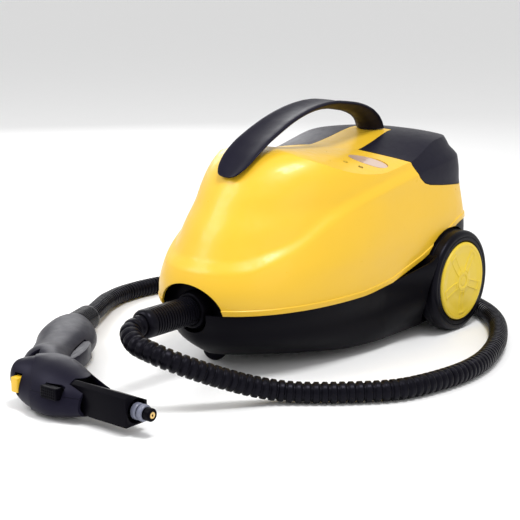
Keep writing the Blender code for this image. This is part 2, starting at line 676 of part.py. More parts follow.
def carry_handle():
    """A broad dished blade from a leaf on the hood, over the hand hollow, to a foot on the tongue."""
    stations = []
    for a, b in zip(HANDLE_TOP, HANDLE_TOP[1:]):
        stations += [a, ((a[0] + b[0]) / 2, (a[1] + b[1]) / 2)]
    stations.append(HANDLE_TOP[-1])
    rings = []
    for i, (y, z) in enumerate(stations):
        before, after = stations[max(i - 1, 0)], stations[min(i + 1, len(stations) - 1)]
        run = Vector((0, after[0] - before[0], after[1] - before[1])).normalized()
        up = Vector((0, -run.z, run.y))
        half, thick = along(HANDLE_HALF, y), along(HANDLE_THICK, y)
        edge = min(thick * 0.55, 6.0)
        shape = [(-half, -edge * 0.5), (-half * 0.9, -edge), (-half * 0.45, -thick), (0, -thick - 0.5),
                 (half * 0.45, -thick), (half * 0.9, -edge), (half, -edge * 0.5), (half * 0.9, 0.0),
                 (half * 0.45, -HANDLE_DISH * 0.8), (0, -HANDLE_DISH), (-half * 0.45, -HANDLE_DISH * 0.8),
                 (-half * 0.9, 0.0)]
        rings.append([tuple(Vector((u, y, z)) + up * v) for u, v in shape])
    handle = lofted("carry_handle", rings, "slate")
    combine(handle, body_core("cut_handle_seat", -3 * GAP, 150.0))
    return handle


def nose_bezel():
    plate = block("nose_bezel", (-80, BEZEL_Y, 50.0), (80, BEZEL_Y + BEZEL_T, 150.0), "black")
    combine(plate, body_core_low("keep_bezel", WALL + 1.2), "INTERSECT")
    return combine(plate, rod("cut_bezel", (0, BEZEL_Y - 9, OUTLET_Z), (0, BEZEL_Y + 20, OUTLET_Z),
                              HOSE_R + GAP))


def body_core_low(name, inset):
    """The body's inside from the chassis floor up."""
    low = FLOOR_NOSE + WALL + 1.0
    rows = [side_row(k / 12, [low] * COLUMNS, [200.0] * COLUMNS, inset) for k in range(13)]
    return lofted(name, rows, first=(0, MID_Y, low), last=(0, MID_Y, 200.0))


def outlet_collar():
    bore = SLEEVE_R + GAP
    return ring_solid("outlet_collar", (0, BEZEL_Y - GAP, OUTLET_Z), (0, -1, 0),
                      [(bore, 0), (COLLAR_R, 0), (COLLAR_R, 10), (COLLAR_R - 2, 16), (bore, 17.0)], "black")


def indicator():
    oval("indicator_lens", LENS, [h - GAP for h in LENS_HALF], LENS_TURN, WALL, -0.4, "lens", follow=True)
    for name, share, colour in (("lamp_power", 0.38, "red"), ("lamp_ready", -0.38, "cream")):
        turn = math.radians(LENS_TURN)
        x = LENS[0] + LENS_HALF[0] * share * math.cos(turn)
        y = LENS[1] + LENS_HALF[0] * share * math.sin(turn)
        top = crown(x, y) - WALL - 6.0
        turned(name, (x, y, top), (0, 0, -1), [(1.5, -2.2), (2.5, -1), (2.5, 6), (3.0, 6.0), (3.0, 7.5)],
               colour,
               sides=14)


# ---------------------------------------------------------------- steam works
def boiler():
    """A domed vessel, open at the front for the heater and at the top for the filler neck."""
    half, front, rear, wall = BOILER_R, BOILER_FRONT, BOILER_REAR, BOILER_WALL
    mouth = HEATER_R + GAP
    outside = [(mouth, front - 6), (half * 0.72, front - 4), (half * 0.93, front + 4), (half, front + 14),
               (half, rear - 14), (half * 0.93, rear - 4), (half * 0.7, rear + 4), (half * 0.3, rear + 7)]
    inside = [(mouth, front - 6 + wall), (half * 0.72 - wall / 2, front - 4 + wall),
              (half * 0.93 - wall, front + 4 + wall), (half - wall, front + 14), (half - wall, rear - 14),
              (half * 0.93 - wall, rear - 4 - wall / 2), (half * 0.7 - wall / 2, rear + 4 - wall),
              (half * 0.3, rear + 7 - wall)]
    rings = [circle((0, y, BOILER_Z), (0, 1, 0), r) for r, y in inside[::-1] + outside]
    vessel = lofted("boiler", rings, "steel", first=(0, rear + 7.5 - wall, BOILER_Z),
                    last=(0, rear + 7.5, BOILER_Z))
    top = BOILER_Z + half
    combine(vessel, rod("cut_boiler_neck", (0, FILLER_Y, top - 12), (0, FILLER_Y, top + 9), NECK_BORE))
    return vessel


def heater():
    """A flange that closes the boiler's mouth, with a bent heating tube behind it."""
    face = BOILER_FRONT - 6
    flange = turned("heating_element", (0, face - 5, BOILER_Z), (0, 1, 0),
                    [(8, -10), (8, 0), (HEATER_R + 7, 0), (HEATER_R + 7, 5 - GAP), (HEATER_R, 5 - GAP),
                     (HEATER_R, 9)], "steel")
    reach, half = HEATER_LONG, 11.0
    bend = [Vector((0, face, BOILER_Z + half))]
    bend += [Vector((0, face + reach + half * math.sin(a), BOILER_Z + half * math.cos(a)))
             for a in (math.pi * k / 8 for k in range(9))]
    bend.append(Vector((0, face, BOILER_Z - half)))
    rings = []
    for k, p in enumerate(bend):
        run = bend[min(k + 1, len(bend) - 1)] - bend[max(k - 1, 0)]
        rings.append(circle(p, run, 3.6, 12))
    loop = lofted("heating_loop", rings)
    return combine(flange, loop, "UNION")


def cradle(name, y):
    """A folded foot that carries the boiler off the chassis floor."""
    foot = block(name, (-CRADLE_HALF, y, FLOOR_REAR + WALL + GAP),
                 (CRADLE_HALF, y + CRADLE_T, BOILER_Z - 18), "steel")
    hollow = rod(name + "_cut", (0, y - 20, BOILER_Z), (0, y + 20, BOILER_Z), BOILER_R + GAP, sides=SIDES)
    combine(foot, hollow)
    slot = block(name + "_slot", (-CRADLE_HALF + 12, y - 5, FLOOR_REAR + WALL + 14),
                 (CRADLE_HALF - 12, y + 9, BOILER_Z - BOILER_R - 12))
    return combine(foot, slot)


def on_boiler(name, y, lean_deg, profile, colour, sides=20):
    """A turned fitting that stands on the boiler's barrel, leaning to one side."""
    lean = math.radians(lean_deg)
    out = Vector((math.sin(lean), 0, math.cos(lean)))
    foot = Vector((0, y, BOILER_Z)) + out * (BOILER_R + GAP)
    return turned(name, tuple(foot), tuple(out), profile, colour, sides=sides)


def boiler_fittings():
    on_boiler("safety_valve", 6.0, 0.0, [(7, 0), (7, 9), (4.5, 9), (4.5, 24), (6, 24), (6, 30)], "brass")
    on_boiler("pressure_switch", 12.0, -62.0, [(6, 0), (6, 8), (15, 8), (15, 20), (11, 23)], "cream")
    on_boiler("control_thermostat", 12.0, 34.0, [(12, 0), (12, 5), (8, 5), (8, 14)], "cream")
    on_boiler("safety_thermostat", 80.0, 90.0, [(11, 0), (11, 5), (7, 5), (7, 13)], "cream")


def steam_line():
    """Solenoid valve on the chassis floor, with the pipes into and out of it."""
    x, y, z = VALVE
    body = block("solenoid_valve", (x - 15, y - 18, z - 18), (x + 15, y + 18, z + 20), "grey")
    port = rod("valve_port", (x, y - 30, OUTLET_Z), (x, y, OUTLET_Z), 6.0, sides=20)
    combine(body, port, "UNION")
    start = Vector((-BOILER_R * 0.5, BOILER_FRONT + 30.0, BOILER_Z + BOILER_R * 0.866 + 3.0))
    top = start.z + 18
    inlet = smooth_route([tuple(start), (start.x, start.y, top - 5), (start.x, start.y - 22, top + 2),
                          (start.x, y + 14, top - 24), (x, y + 2, z + 50), (x, y, z + 20 + GAP)], 16.0)
    tube_curve("steam_pipe", inlet, 3.2, "brass", 2)
    tube_curve("outlet_pipe", smooth_route([(x, y - 31.5, OUTLET_Z), (x, y - 48, OUTLET_Z),
                                            (0, BEZEL_Y + 40, OUTLET_Z), (0, HOSE_START + GAP, OUTLET_Z)],
                                            14.0),
               4.0, "brass", 2)


def filler():
    top = BOILER_Z + BOILER_R
    neck = pipe("filler_neck", (0, FILLER_Y, top - 8), (0, FILLER_Y, NECK_TOP), NECK_R, NECK_BORE, "brass")
    combine(neck, rod("cut_neck_foot", (0, 60, BOILER_Z), (0, 220, BOILER_Z), BOILER_R + GAP, sides=SIDES))
    at = (0.0, FILLER_Y, NECK_TOP)
    ring_solid("cap_gasket", at, (0, 0, 1), [(NECK_BORE - 1, GAP), (NECK_R - 1, GAP), (NECK_R - 1, 2.4),
                                             (NECK_BORE - 1, 2.4)], "rubber")
    core = NECK_BORE - 1 - GAP
    turned("cap_core", at, (0, 0, 1), [(5, -19), (core, -18), (core, 2.4 + GAP)], "brass")
    height = CAP_TOP - NECK_TOP
    low = 2.4 + 2 * GAP
    turned("cap_knob", at, (0, 0, 1), [(CAP_R, low), (CAP_R, height - 5), (CAP_R - 2, height - 1),
                                       (CAP_R - 6, height)], "black")


def wiring():
    x, y, z = 68.0, 26.0, FLOOR_REAR + WALL + GAP
    block("terminal_block", (x - 12, y - 20, z), (x + 12, y + 20, z + 14), "cream")
    gland = GLAND
    turned("cord_gland", gland, (0, 1, 0), [(GLAND_R, -12), (GLAND_R, 1.5), (GLAND_R + 4, 1.5),
                                            (GLAND_R + 4, 5),
                                            (GLAND_R - 1, 9), (5.0, 16)], "rubber", sides=24)


# ---------------------------------------------------------------- running gear
def rear_wheels():
    reach = TYRE_OUTER_X - 7.4
    rod("rear_axle", (-reach, WHEEL_Y, TYRE_R), (reach, WHEEL_Y, TYRE_R), AXLE_R, "steel")
    for name, side in (("left", -1), ("right", 1)):
        at = (0.0, WHEEL_Y, TYRE_R)
        out = (side, 0, 0)
        inner, outer = TYRE_INNER_X, TYRE_OUTER_X
        ring_solid("tyre_" + name, at, out, [
            (RIM_R + GAP, inner), (TYRE_R - 5, inner), (TYRE_R - 1, inner + 2.5), (TYRE_R, inner + 7),
            (TYRE_R, outer - 7), (TYRE_R - 1, outer - 2.5), (TYRE_R - 5, outer), (RIM_R + GAP, outer)],
            "rubber", at, 36)
        bore = AXLE_R + RUN_GAP
        ring_solid("rim_" + name, at, out, [
            (bore, inner + 1), (13, inner + 1), (13, outer - 14), (RIM_R - 6, outer - 14),
            (RIM_R - 6, inner + 1),
            (RIM_R, inner + 1), (RIM_R, outer - 3), (RIM_R - 9, outer - 8), (bore, outer - 8)], "black",
            at, 36)
        face = outer - 2.4
        turned("hub_cap_" + name, at, out, [
            (HUB_CAP_R - 10, face - 4), (HUB_CAP_R, face), (HUB_CAP_R, face + HUB_CAP_T - 1.5),
            (HUB_CAP_R - 3, face + HUB_CAP_T), (HUB_CAP_R - 14, face + HUB_CAP_T - 1),
            (12, face + HUB_CAP_T - 1.6), (11, face + HUB_CAP_T), (7, face + HUB_CAP_T)], "lime_yellow",
            at, 36)


def caster():
    """A single trailing caster under the nose: turret, two cheeks, wheel and pin."""
    turn = math.radians(CASTER_TURN)
    back = Vector((math.cos(turn), math.sin(turn), 0))
    across = Vector((-back.y, back.x, 0))
    pivot = Vector((0, CASTER_Y, 0))
    hub = pivot + back * CASTER_TRAIL + Vector((0, 0, CASTER_R))
    fork = turned("caster_fork", tuple(pivot), (0, 0, 1), [
        (CASTER_HUB_R - 4, 17), (CASTER_HUB_R, 20), (CASTER_HUB_R, POCKET_TOP - 1), (STEM_R, POCKET_TOP - 1),
        (STEM_R, POCKET_TOP + 9)], "black", sides=24)
    for k in (-1, 1):
        near, far = CASTER_WIDTH / 2 + 0.6, CASTER_WIDTH / 2 + 3.2
        corners = [(6.0, 21.0), (CASTER_TRAIL + 4.0, CASTER_R - 4), (CASTER_TRAIL + 4.0, CASTER_R + 5),
                   (20.0, POCKET_TOP - 2), (6.0, POCKET_TOP - 2)]
        points = [tuple(pivot + back * u + across * (k * w) + Vector((0, 0, v)))
                  for w in (near, far) for u, v in corners]
        cheek = solid(f"caster_cheek_{k}", points, grid_faces(2, 5) + [tuple(range(5)), tuple(range(5, 10))])
        combine(fork, cheek, "UNION")
    half = CASTER_WIDTH / 2
    reach = half + 3.0
    combine(fork, rod("cut_caster_pin", tuple(hub - across * 20), tuple(hub + across * 20),
                      CASTER_PIN_R + GAP / 2,
                      sides=16))
    ring_solid("caster_wheel", tuple(hub), tuple(across), [
        (CASTER_PIN_R + RUN_GAP, -half), (CASTER_R - 2, -half), (CASTER_R, -half + 2), (CASTER_R, half - 2),
        (CASTER_R - 2, half), (CASTER_PIN_R + RUN_GAP, half)], "rubber", tuple(hub), 28)
    rod("caster_pin", tuple(hub - across * reach), tuple(hub + across * reach), CASTER_PIN_R, "steel",
        sides=16)


# ---------------------------------------------------------------- hose
def hose():
    mouth = Vector((*on_grip(GRIP[-1][0], GRIP[-1][3]), SLEEVE_GUN_Z))
    end = Vector(GUN_SLEEVE_END)
    ahead = (end - mouth).normalized()
    start = mouth + ahead * 6.0
    pipe("sleeve_gun", tuple(start), tuple(end), SLEEVE_R, HOSE_R + 2 * GAP, "rubber", 24)
    pipe("sleeve_machine", (0, BEZEL_Y - 2 * GAP, OUTLET_Z), (0, SLEEVE_END, OUTLET_Z), SLEEVE_R,
         HOSE_R + 2 * GAP,
         "rubber", 24)
    inside = start + ahead * 6.0
    route = [*HOSE_ROUTE, tuple(end), tuple(end.lerp(inside, 0.5)), tuple(inside)]
    fine = smooth_route(route, HOSE_STEP)
    kept = [p for k, p in enumerate(fine) if k < HOSE_TIGHT or (k - HOSE_TIGHT) % 3 == 0 or k == len(fine) - 1]
    tube_curve("steam_hose", kept, HOSE_R, "rubber", 2)


# ---------------------------------------------------------------- steam gun
def rounded(turn, power):
    """Cosine and sine of a turn, squared off by power."""
    return tuple(math.copysign(abs(v) ** (2 / power), v) for v in (math.cos(turn), math.sin(turn)))


def head_rings(inset):
    rings = []
    for x, half, high, shift, height, lean in HEAD:
        ring = []
        for k in range(GUN_SIDES):
            across, up = rounded(2 * math.pi * (k + 0.4) / GUN_SIDES, HEAD_POWER)
            rise = (high - inset) * up
            ring.append((x, GUN_AXIS_Y + shift + (half - inset) * across + lean * rise, height + rise))
        rings.append(ring)
    if inset:
        rings[0] = [(x + inset, y, z) for x, y, z in rings[0]]
        rings.append([(x + 9.0, y, z) for x, y, z in rings[-1]])
    return rings


def on_grip(distance, side):
    """A point in plan, by distance along the grip and to its inner side."""
    ahead = Vector(GRIP_AHEAD).normalized()
    return Vector(GRIP_START) + ahead * distance + Vector((ahead.y, -ahead.x)) * side


def gun_grip(name, grow):
    """The grip as one solid, grown or drawn in."""
    last = GRIP[-1][0]
    rings = []
    for distance, half, high, shift in GRIP:
        height = GUN_Z - GRIP_DROP * distance / last
        if grow < 0 and distance in (0.0, last):
            distance += 9.0 if distance else 2.0
        ring = []
        for k in range(GUN_SIDES):
            a = 2 * math.pi * (k + 0.4) / GUN_SIDES
            x, y = on_grip(distance, shift + (half + grow) * math.cos(a))
            ring.append((x, y, height + (high + grow) * math.sin(a)))
        rings.append(ring)
    return lofted(name, rings)


def gun_body(name, inset, colour=None):
    """Head and grip as one solid, drawn in by inset."""
    return combine(lofted(name, head_rings(inset), colour), gun_grip(name + "_grip", -inset), "UNION")


def beyond_seam(name, shift):
    """Where the rear cap sits, grown by shift on the sides that face the shell."""
    run = Vector(SEAM_RUN)
    ahead = Vector((run.y, -run.x))
    start = Vector(SEAM) + ahead * shift
    near, far = run * -60.0, run * (SEAM_LONG + shift)
    back = ahead * -150.0
    return prism(name, [tuple(start + p) for p in (near, far, far + back, near + back)], -30.0, 110.0, "Z")


def gun_shells():
    """Two half shells that meet on a level plane, hollow inside."""
    hollow = gun_body("cut_gun_inside", GUN_WALL)
    (x0, y0), (x1, y1) = HEAD_FRONT
    rooms = bundle("cut_gun_rooms", [
        beyond_seam("behind_seam", GAP / 2),
        prism("past_front", [(x0, y0), (x1, y1), (x1 + 90, y1), (x0 + 90, y0)], -30.0, 90.0, "Z"),
        on_grip_prism("trigger_room", TRIGGER_ROOM, TRIGGER_HALF + 0.8),
        button_block("button_room", GAP, 14.0)])
    (low_x, low_y, low_z), (high_x, high_y, high_z) = CONNECTOR
    socket = block("cut_gun_socket", (low_x - 20, low_y - GAP, low_z - GAP),
                   (high_x, high_y + GAP, high_z + GAP))
    halves = (("gun_shell_lower", GUN_Z - GAP / 2, 90.0), ("gun_shell_upper", -20.0, GUN_Z + GAP / 2))
    for name, low, high in halves:
        shell = gun_body(name, 0.0, "slate")
        for cutter in (hollow, rooms, socket):
            combine(shell, cutter)
        combine(shell, block("cut_" + name, (-330.0, -520.0, low), (130.0, -120.0, high)))


def gun_cap():
    """The rear cap, a hollow bowl with a slot for the lock."""
    cap = lofted("gun_end_cap", head_rings(CAP_STEP), "slate")
    combine(cap, lofted("cut_cap_inside", head_rings(CAP_STEP + GUN_WALL)[1:]))
    combine(cap, beyond_seam("keep_cap", -GAP / 2), "INTERSECT")
    low, high = LOCK
    combine(cap, block("cut_lock_slot", (low[0] - GAP, low[1] - 9, low[2] - LOCK_TRAVEL - GAP),
                       (high[0] + GAP, high[1] + 2, high[2] + LOCK_TRAVEL + GAP)))
    block("lock_slider", low, high, "yellow")


def on_grip_prism(name, corners, half, colour=None):
    points = [tuple(on_grip(*corner)) for corner in corners]
    return prism(name, points, GUN_Z - half, GUN_Z + half, "Z", colour)


def button_block(name, grow, depth, colour=None):
    """The release button on the head's near side, proud of the shell."""
    x, y, z = BUTTON
    half_x, half_z = BUTTON_HALF
    return block(name, (x - half_x - grow, y, z - half_z - grow),
                 (x + half_x + grow, y + depth, z + half_z + grow),
                 colour)


def gun_controls():
    trigger = on_grip_prism("gun_trigger", TRIGGER, TRIGGER_HALF, "slate")
    x, y = on_grip(*TRIGGER_PIN)
    combine(trigger, rod("cut_trigger_bore", (x, y, -20), (x, y, 80), TRIGGER_PIN_R + RUN_GAP, sides=20))
    set_origin(trigger, (x, y, GUN_Z))
    reach = TRIGGER_HALF + 0.5
    rod("trigger_pin", (x, y, GUN_Z - reach), (x, y, GUN_Z + reach), TRIGGER_PIN_R, "steel", sides=20)
    button = button_block("release_button", 0.0, 9.0, "black")
    set_origin(button, BUTTON)
    sx, sy = on_grip(*SWITCH)
    block("microswitch", (sx - 5, sy - 8, GUN_Z - 5), (sx + 5, sy + 8, GUN_Z + 5), "cream")


def connector():
    """The latching plug in the head's socket, with the nozzle that stands out of it."""
    (x0, y0, z0), (x1, y1, z1) = CONNECTOR
    front = [(y0, z0), (y1 - 3, z0), (y1, z0 + 4), (y1, z1 - 11), (y0 + 6, z1), (y0, z1 - 3)]
    body = prism("connector_body", front, 4.0, x1, "X", "black")
    scoop = turned("cut_connector_scoop", (x1 + 6, GUN_AXIS_Y, NOZZLE_Z), (-1, 0, 0),
                   [(14, 0), (13, 8), (9, 16)], sides=24)
    combine(body, scoop)
    tube = rod("cut_nozzle_bore", (0, GUN_AXIS_Y, NOZZLE_Z), (x1 + 9, GUN_AXIS_Y, NOZZLE_Z),
               NOZZLE_R - 2 + GAP)
    combine(body, tube)
    at = (0.0, GUN_AXIS_Y, NOZZLE_Z)
    inner = NOZZLE_R - 2
    ring_solid("nozzle_tube", at, (1, 0, 0), [(2.5, 8), (inner, 8), (inner, BARREL_END - 8),
                                              (NOZZLE_R - 1, BARREL_END - 8),
                                              (NOZZLE_R - 1, BARREL_END - 1.5), (NOZZLE_R - 2.5, BARREL_END),
                                              (4.2, BARREL_END), (4.2, BARREL_END - 3),
                                              (2.5, BARREL_END - 3)],
               "black", sides=24)
    for k, start in enumerate((x1 - 2.0, x1 + 6.5), 1):
        ring_solid(f"nozzle_ring_{k}", at, (1, 0, 0), [
            (inner + GAP, start), (NOZZLE_R, start), (NOZZLE_R + 1, start + 1.5), (NOZZLE_R + 1, start + 5.5),
            (NOZZLE_R, start + 7), (inner + GAP, start + 7)], "grey", sides=24)
    ring_solid("steam_jet", at, (1, 0, 0), [(1.2, BARREL_END - 3 + GAP), (4.2 - GAP, BARREL_END - 3 + GAP),
                                            (4.2 - GAP, BARREL_END - 0.5), (1.2, BARREL_END - 0.5)],
                                            "brass", sides=16)


def centre_on_floor(listed_off):
    """Moves the whole object so that the middle of its footprint is the origin, by one empty above it all."""
    root = bpy.data.objects.new("steam_cleaner_root", None)
    bpy.context.collection.objects.link(root)
    bpy.context.view_layer.update()
    graph = bpy.context.evaluated_depsgraph_get()
    low, high = Vector((9.0, 9.0, 9.0)), Vector((-9.0, -9.0, -9.0))
    for item in bpy.data.objects:
        if item.type == "MESH" and not item.hide_render and item.name not in listed_off:
            shown = item.evaluated_get(graph)
            for point in shown.data.vertices:
                corner = shown.matrix_world @ point.co
                low = Vector(map(min, low, corner))
                high = Vector(map(max, high, corner))
    for item in bpy.data.objects:
        if item is not root:
            item.parent = root
    root.location = (-(low.x + high.x) / 2, -(low.y + high.y) / 2, -low.z)


def main():
    for item in list(bpy.data.objects):
        bpy.data.objects.remove(item)
    upper_shell()
    rear_lid()
    rear_deck()
    hinge_pin()
    chassis()
    chassis_screws()
    carry_handle()
    nose_bezel()
    outlet_collar()
    indicator()
    boiler()
    heater()
    cradle("boiler_cradle_front", 8.0)
    cradle("boiler_cradle_rear", 104.0)
    boiler_fittings()
    steam_line()
    filler()
    wiring()
    rear_wheels()
    caster()
    gun_shells()
    gun_cap()
    gun_controls()
    connector()
    hose()
    centre_on_floor(("sleeve_machine", "sleeve_gun"))


main()
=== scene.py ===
"""The looks of a canister steam cleaner: finer shapes over the CAD frame, materials, light and camera."""
import json
import math

import bmesh
import bpy
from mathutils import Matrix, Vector


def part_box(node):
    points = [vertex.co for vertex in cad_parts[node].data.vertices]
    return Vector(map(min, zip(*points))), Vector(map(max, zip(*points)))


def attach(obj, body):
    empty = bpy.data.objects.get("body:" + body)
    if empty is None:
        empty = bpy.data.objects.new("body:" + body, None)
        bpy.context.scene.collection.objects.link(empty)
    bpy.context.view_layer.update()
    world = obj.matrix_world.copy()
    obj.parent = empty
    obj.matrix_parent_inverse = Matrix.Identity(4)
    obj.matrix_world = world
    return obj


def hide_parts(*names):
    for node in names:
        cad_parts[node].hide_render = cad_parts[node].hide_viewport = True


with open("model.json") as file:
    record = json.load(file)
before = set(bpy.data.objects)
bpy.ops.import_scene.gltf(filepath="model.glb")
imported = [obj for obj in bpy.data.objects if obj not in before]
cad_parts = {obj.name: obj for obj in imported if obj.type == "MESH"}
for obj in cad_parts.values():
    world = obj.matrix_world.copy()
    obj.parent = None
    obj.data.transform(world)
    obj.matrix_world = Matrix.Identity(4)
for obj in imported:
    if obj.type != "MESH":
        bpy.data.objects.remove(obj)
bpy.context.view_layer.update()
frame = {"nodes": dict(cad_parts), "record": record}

# ---------------- sizes as in the solids, in millimetres
MM = 0.001
GAP = 0.4  # between pieces that touch or sit in each other
RUN_GAP = 0.1  # radial clearance of a pin or an axle in its bore
SIDES = 32  # facets of an ordinary round piece

# ---------------- machine body
WALL = 3.0  # every moulded wall
TAIL_POWER = 6.0  # squareness of the tail in plan
# height, half-width, nose reach, tail reach, and the two powers of the nose's plan outline
HULL = (
    (12.0, 114.0, 190.0, 190.0, 1.50, 1.80),
    (24.0, 118.0, 214.0, 198.0, 1.55, 1.85),
    (40.0, 119.0, 234.0, 202.0, 1.80, 2.15),
    (60.0, 119.0, 242.0, 205.0, 2.05, 2.45),
    (80.0, 120.0, 246.0, 207.0, 2.20, 2.60),
    (95.0, 121.0, 247.0, 211.5, 2.20, 2.60),
    (110.0, 121.5, 244.5, 211.5, 2.20, 2.50),
    (128.0, 122.0, 237.5, 211.5, 2.10, 2.40),
    (150.0, 121.0, 225.5, 209.5, 2.00, 2.20),
    (170.0, 119.0, 213.5, 205.5, 1.95, 2.10),
    (190.0, 117.0, 198.5, 201.5, 1.90, 2.00),
    (210.0, 116.0, 184.5, 200.5, 1.90, 2.00),
    (228.0, 113.0, 169.5, 197.5, 1.90, 2.00),
    (242.0, 107.0, 152.5, 192.5, 1.95, 2.00),
    (250.0, 102.0, 134.5, 188.5, 2.00, 2.00),
    (256.0, 97.0, 108.5, 178.0, 2.00, 2.00),
    (262.0, 88.0, 82.5, 168.0, 2.00, 2.00),
)
# the middle line of the top panel: a hand hollow under the handle, rising to the rear lid
CROWN = ((-250.0, 262.0), (-104.0, 255.5), (-60.0, 249.5), (0.0, 243.5), (38.0, 241.8),
         (75.0, 247.5), (112.0, 255.5), (130.0, 257.0), (150.0, 256.5), (170.0, 254.5), (215.0, 247.0))
CROWN_FALL = ((-250.0, 0.0021), (-60.0, 0.0021), (0.0, 0.0018), (56.0, 0.00135), (170.0, 0.00085),
              (215.0, 0.00085))

# lower edge of the yellow shell, as height over Y: level at the nose, sweeping up over the wheels
SHELL_EDGE = ((-250.0, 80.0), (-60.0, 80.5), (-23.0, 84.0), (21.0, 90.0), (66.0, 104.0),
              (113.0, 122.0), (137.0, 132.0), (162.0, 139.0), (215.0, 141.0))
SHELF = 5.0  # how far the flank steps out below the swoosh line
SHELF_BAND = 19.0  # height over which it steps
SHELF_LINE = ((-250.0, 140.0), (-210.0, 142.0), (-186.0, 150.0), (-148.0, 164.0), (-104.0, 187.0),
              (-60.0, 203.0), (-13.0, 213.0), (60.0, 226.0), (215.0, 240.0))
FLOOR_REAR = 13.0  # underside height behind and under the nose
FLOOR_NOSE = 21.0
FLARE = 19.0  # how far the chassis bulges out in front of a rear wheel
EDGE_GAP = 0.8  # shadow line between shell and chassis
TUB_MIDDLE = 82.0  # height of the middle of the tub when it is filled
MID_Y = 20.0  # where the columns of the top and the bottom meet

# ---------------- rear lid
LID_FRONT = 38.4
# the lid in side view, as (Y, Z)
LID_SIDE = ((LID_FRONT, 300.0), (LID_FRONT, 240.8), (56.0, 228.0), (60.0, 217.0), (66.0, 208.0),
            (76.0, 200.5),
            (90.0, 196.5), (120.0, 192.5), (172.0, 187.0), (240.0, 185.0), (240.0, 300.0))
LID_GAP = 0.7
LID_BLANK_LOW = 165.0  # the lid is cut from a blank that starts here
TONGUE_FRONT_HALF = 39.0  # half-width of the yellow tongue at the lid's front edge
TONGUE_REAR_HALF = 30.0
TONGUE_END = 128.0
HINGE_Y = 194.5
HINGE_Z = 189.0
HINGE_R = 2.6
HINGE_HALF = 62.0  # half-length of the lid's hinge barrel
SWEEP_R = 9.6  # reach of the lid's rear edge about its hinge, with clearance
SWEEP_HALF = 131.0  # half-length of the room it swings through

# ---------------- indicator lens on the top panel
LENS = (77.0, 6.0)  # its middle in plan
LENS_HALF = (25.0, 16.0)
LENS_TURN = 23.0

# ---------------- handle
# over Y: the blade's upper line, its half-width and its thickness
HANDLE_TOP = ((-174.0, 229.0), (-163.0, 239.0), (-146.0, 253.5), (-125.0, 266.5), (-102.0, 277.0),
              (-80.0, 286.0),
              (-60.0, 292.5), (-40.0, 297.5), (-20.0, 301.0), (0.0, 303.0), (22.0, 303.0), (43.0, 300.5),
              (64.0, 297.5), (83.0, 292.5), (99.0, 286.0), (112.0, 277.0), (120.0, 267.5), (125.0, 256.0))
HANDLE_HALF = ((-174.0, 13.0), (-163.0, 22.0), (-140.0, 26.5), (-60.0, 24.5), (20.0, 22.5), (125.0, 23.0))
HANDLE_THICK = ((-174.0, 5.0), (-146.0, 8.0), (-100.0, 10.0), (-20.0, 11.0), (50.0, 13.0), (125.0, 15.0))
HANDLE_DISH = 3.0  # how far its upper face is hollowed

# ---------------- wheels, caster and holes in the chassis
WHEEL_Y = 135.0
TYRE_R = 66.0
TYRE_INNER_X = 112.0
TYRE_OUTER_X = 140.0
RIM_R = 52.0
HUB_CAP_R = 51.0
HUB_CAP_T = 5.0
AXLE_R = 5.0
WELL_GAP = 3.5
WELL_X = 107.0
CASTER_Y = -150.0
CASTER_R = 14.5
CASTER_TRAIL = 29.0
POCKET_TOP = 36.0
STEM_R = 4.0
SCREW_R = 2.0
GLAND = (-62.0, 203.0, 52.0)  # mains cable inlet, low in the tail
GLAND_R = 7.0

# ---------------- steam outlet and hose
ARCH_HALF = 47.0  # the arched opening in the nose
ARCH_HEIGHT = 32.5
OUTLET_Z = 80.0
BEZEL_Y = -222.0
COLLAR_R = 22.5
HOSE_R = 11.75
SLEEVE_R = 16.8
SLEEVE_END = -318.0
HOSE_START = -219.0
# the hose's middle line, from the nose round behind the machine to the gun
HOSE_ROUTE = (
    (0.0, HOSE_START, OUTLET_Z), (0.0, -250.0, OUTLET_Z), (0.0, -290.0, OUTLET_Z),
    (0.0, SLEEVE_END, OUTLET_Z),
    (3.0, -337.0, 76.5), (24.0, -350.0, 70.0), (50.0, -349.5, 64.5), (68.0, -341.0, 57.5),
    (86.0, -319.0, 45.0),
    (104.0, -290.0, 31.0), (118.0, -269.0, 22.0), (136.0, -247.0, 15.0), (160.0, -227.0, 12.4),
    (197.0, -195.0, 12.4), (234.0, -150.0, 12.4), (253.0, -80.0, 12.4), (254.0, -20.0, 12.4),
    (240.0, 40.0, 12.4),
    (216.0, 98.0, 12.4), (177.0, 162.0, 12.4), (128.0, 208.0, 12.4), (55.0, 245.0, 12.4),
    (-40.0, 255.0, 12.4),
    (-135.0, 233.0, 12.4), (-215.0, 178.0, 12.4), (-270.0, 105.0, 12.4), (-301.0, 25.0, 12.4),
    (-304.0, -40.0, 12.6), (-290.0, -86.0, 14.0), (-273.0, -115.0, 16.5),
)

# ---------------- steam gun
GUN_SLEEVE_END = (-231.0, -181.0, 19.4)
GUN_AXIS_Y = -411.0
GUN_Z = 28.6
GUN_WALL = 2.6
CAP_STEP = 1.6  # how far the rear cap stands back from the shell
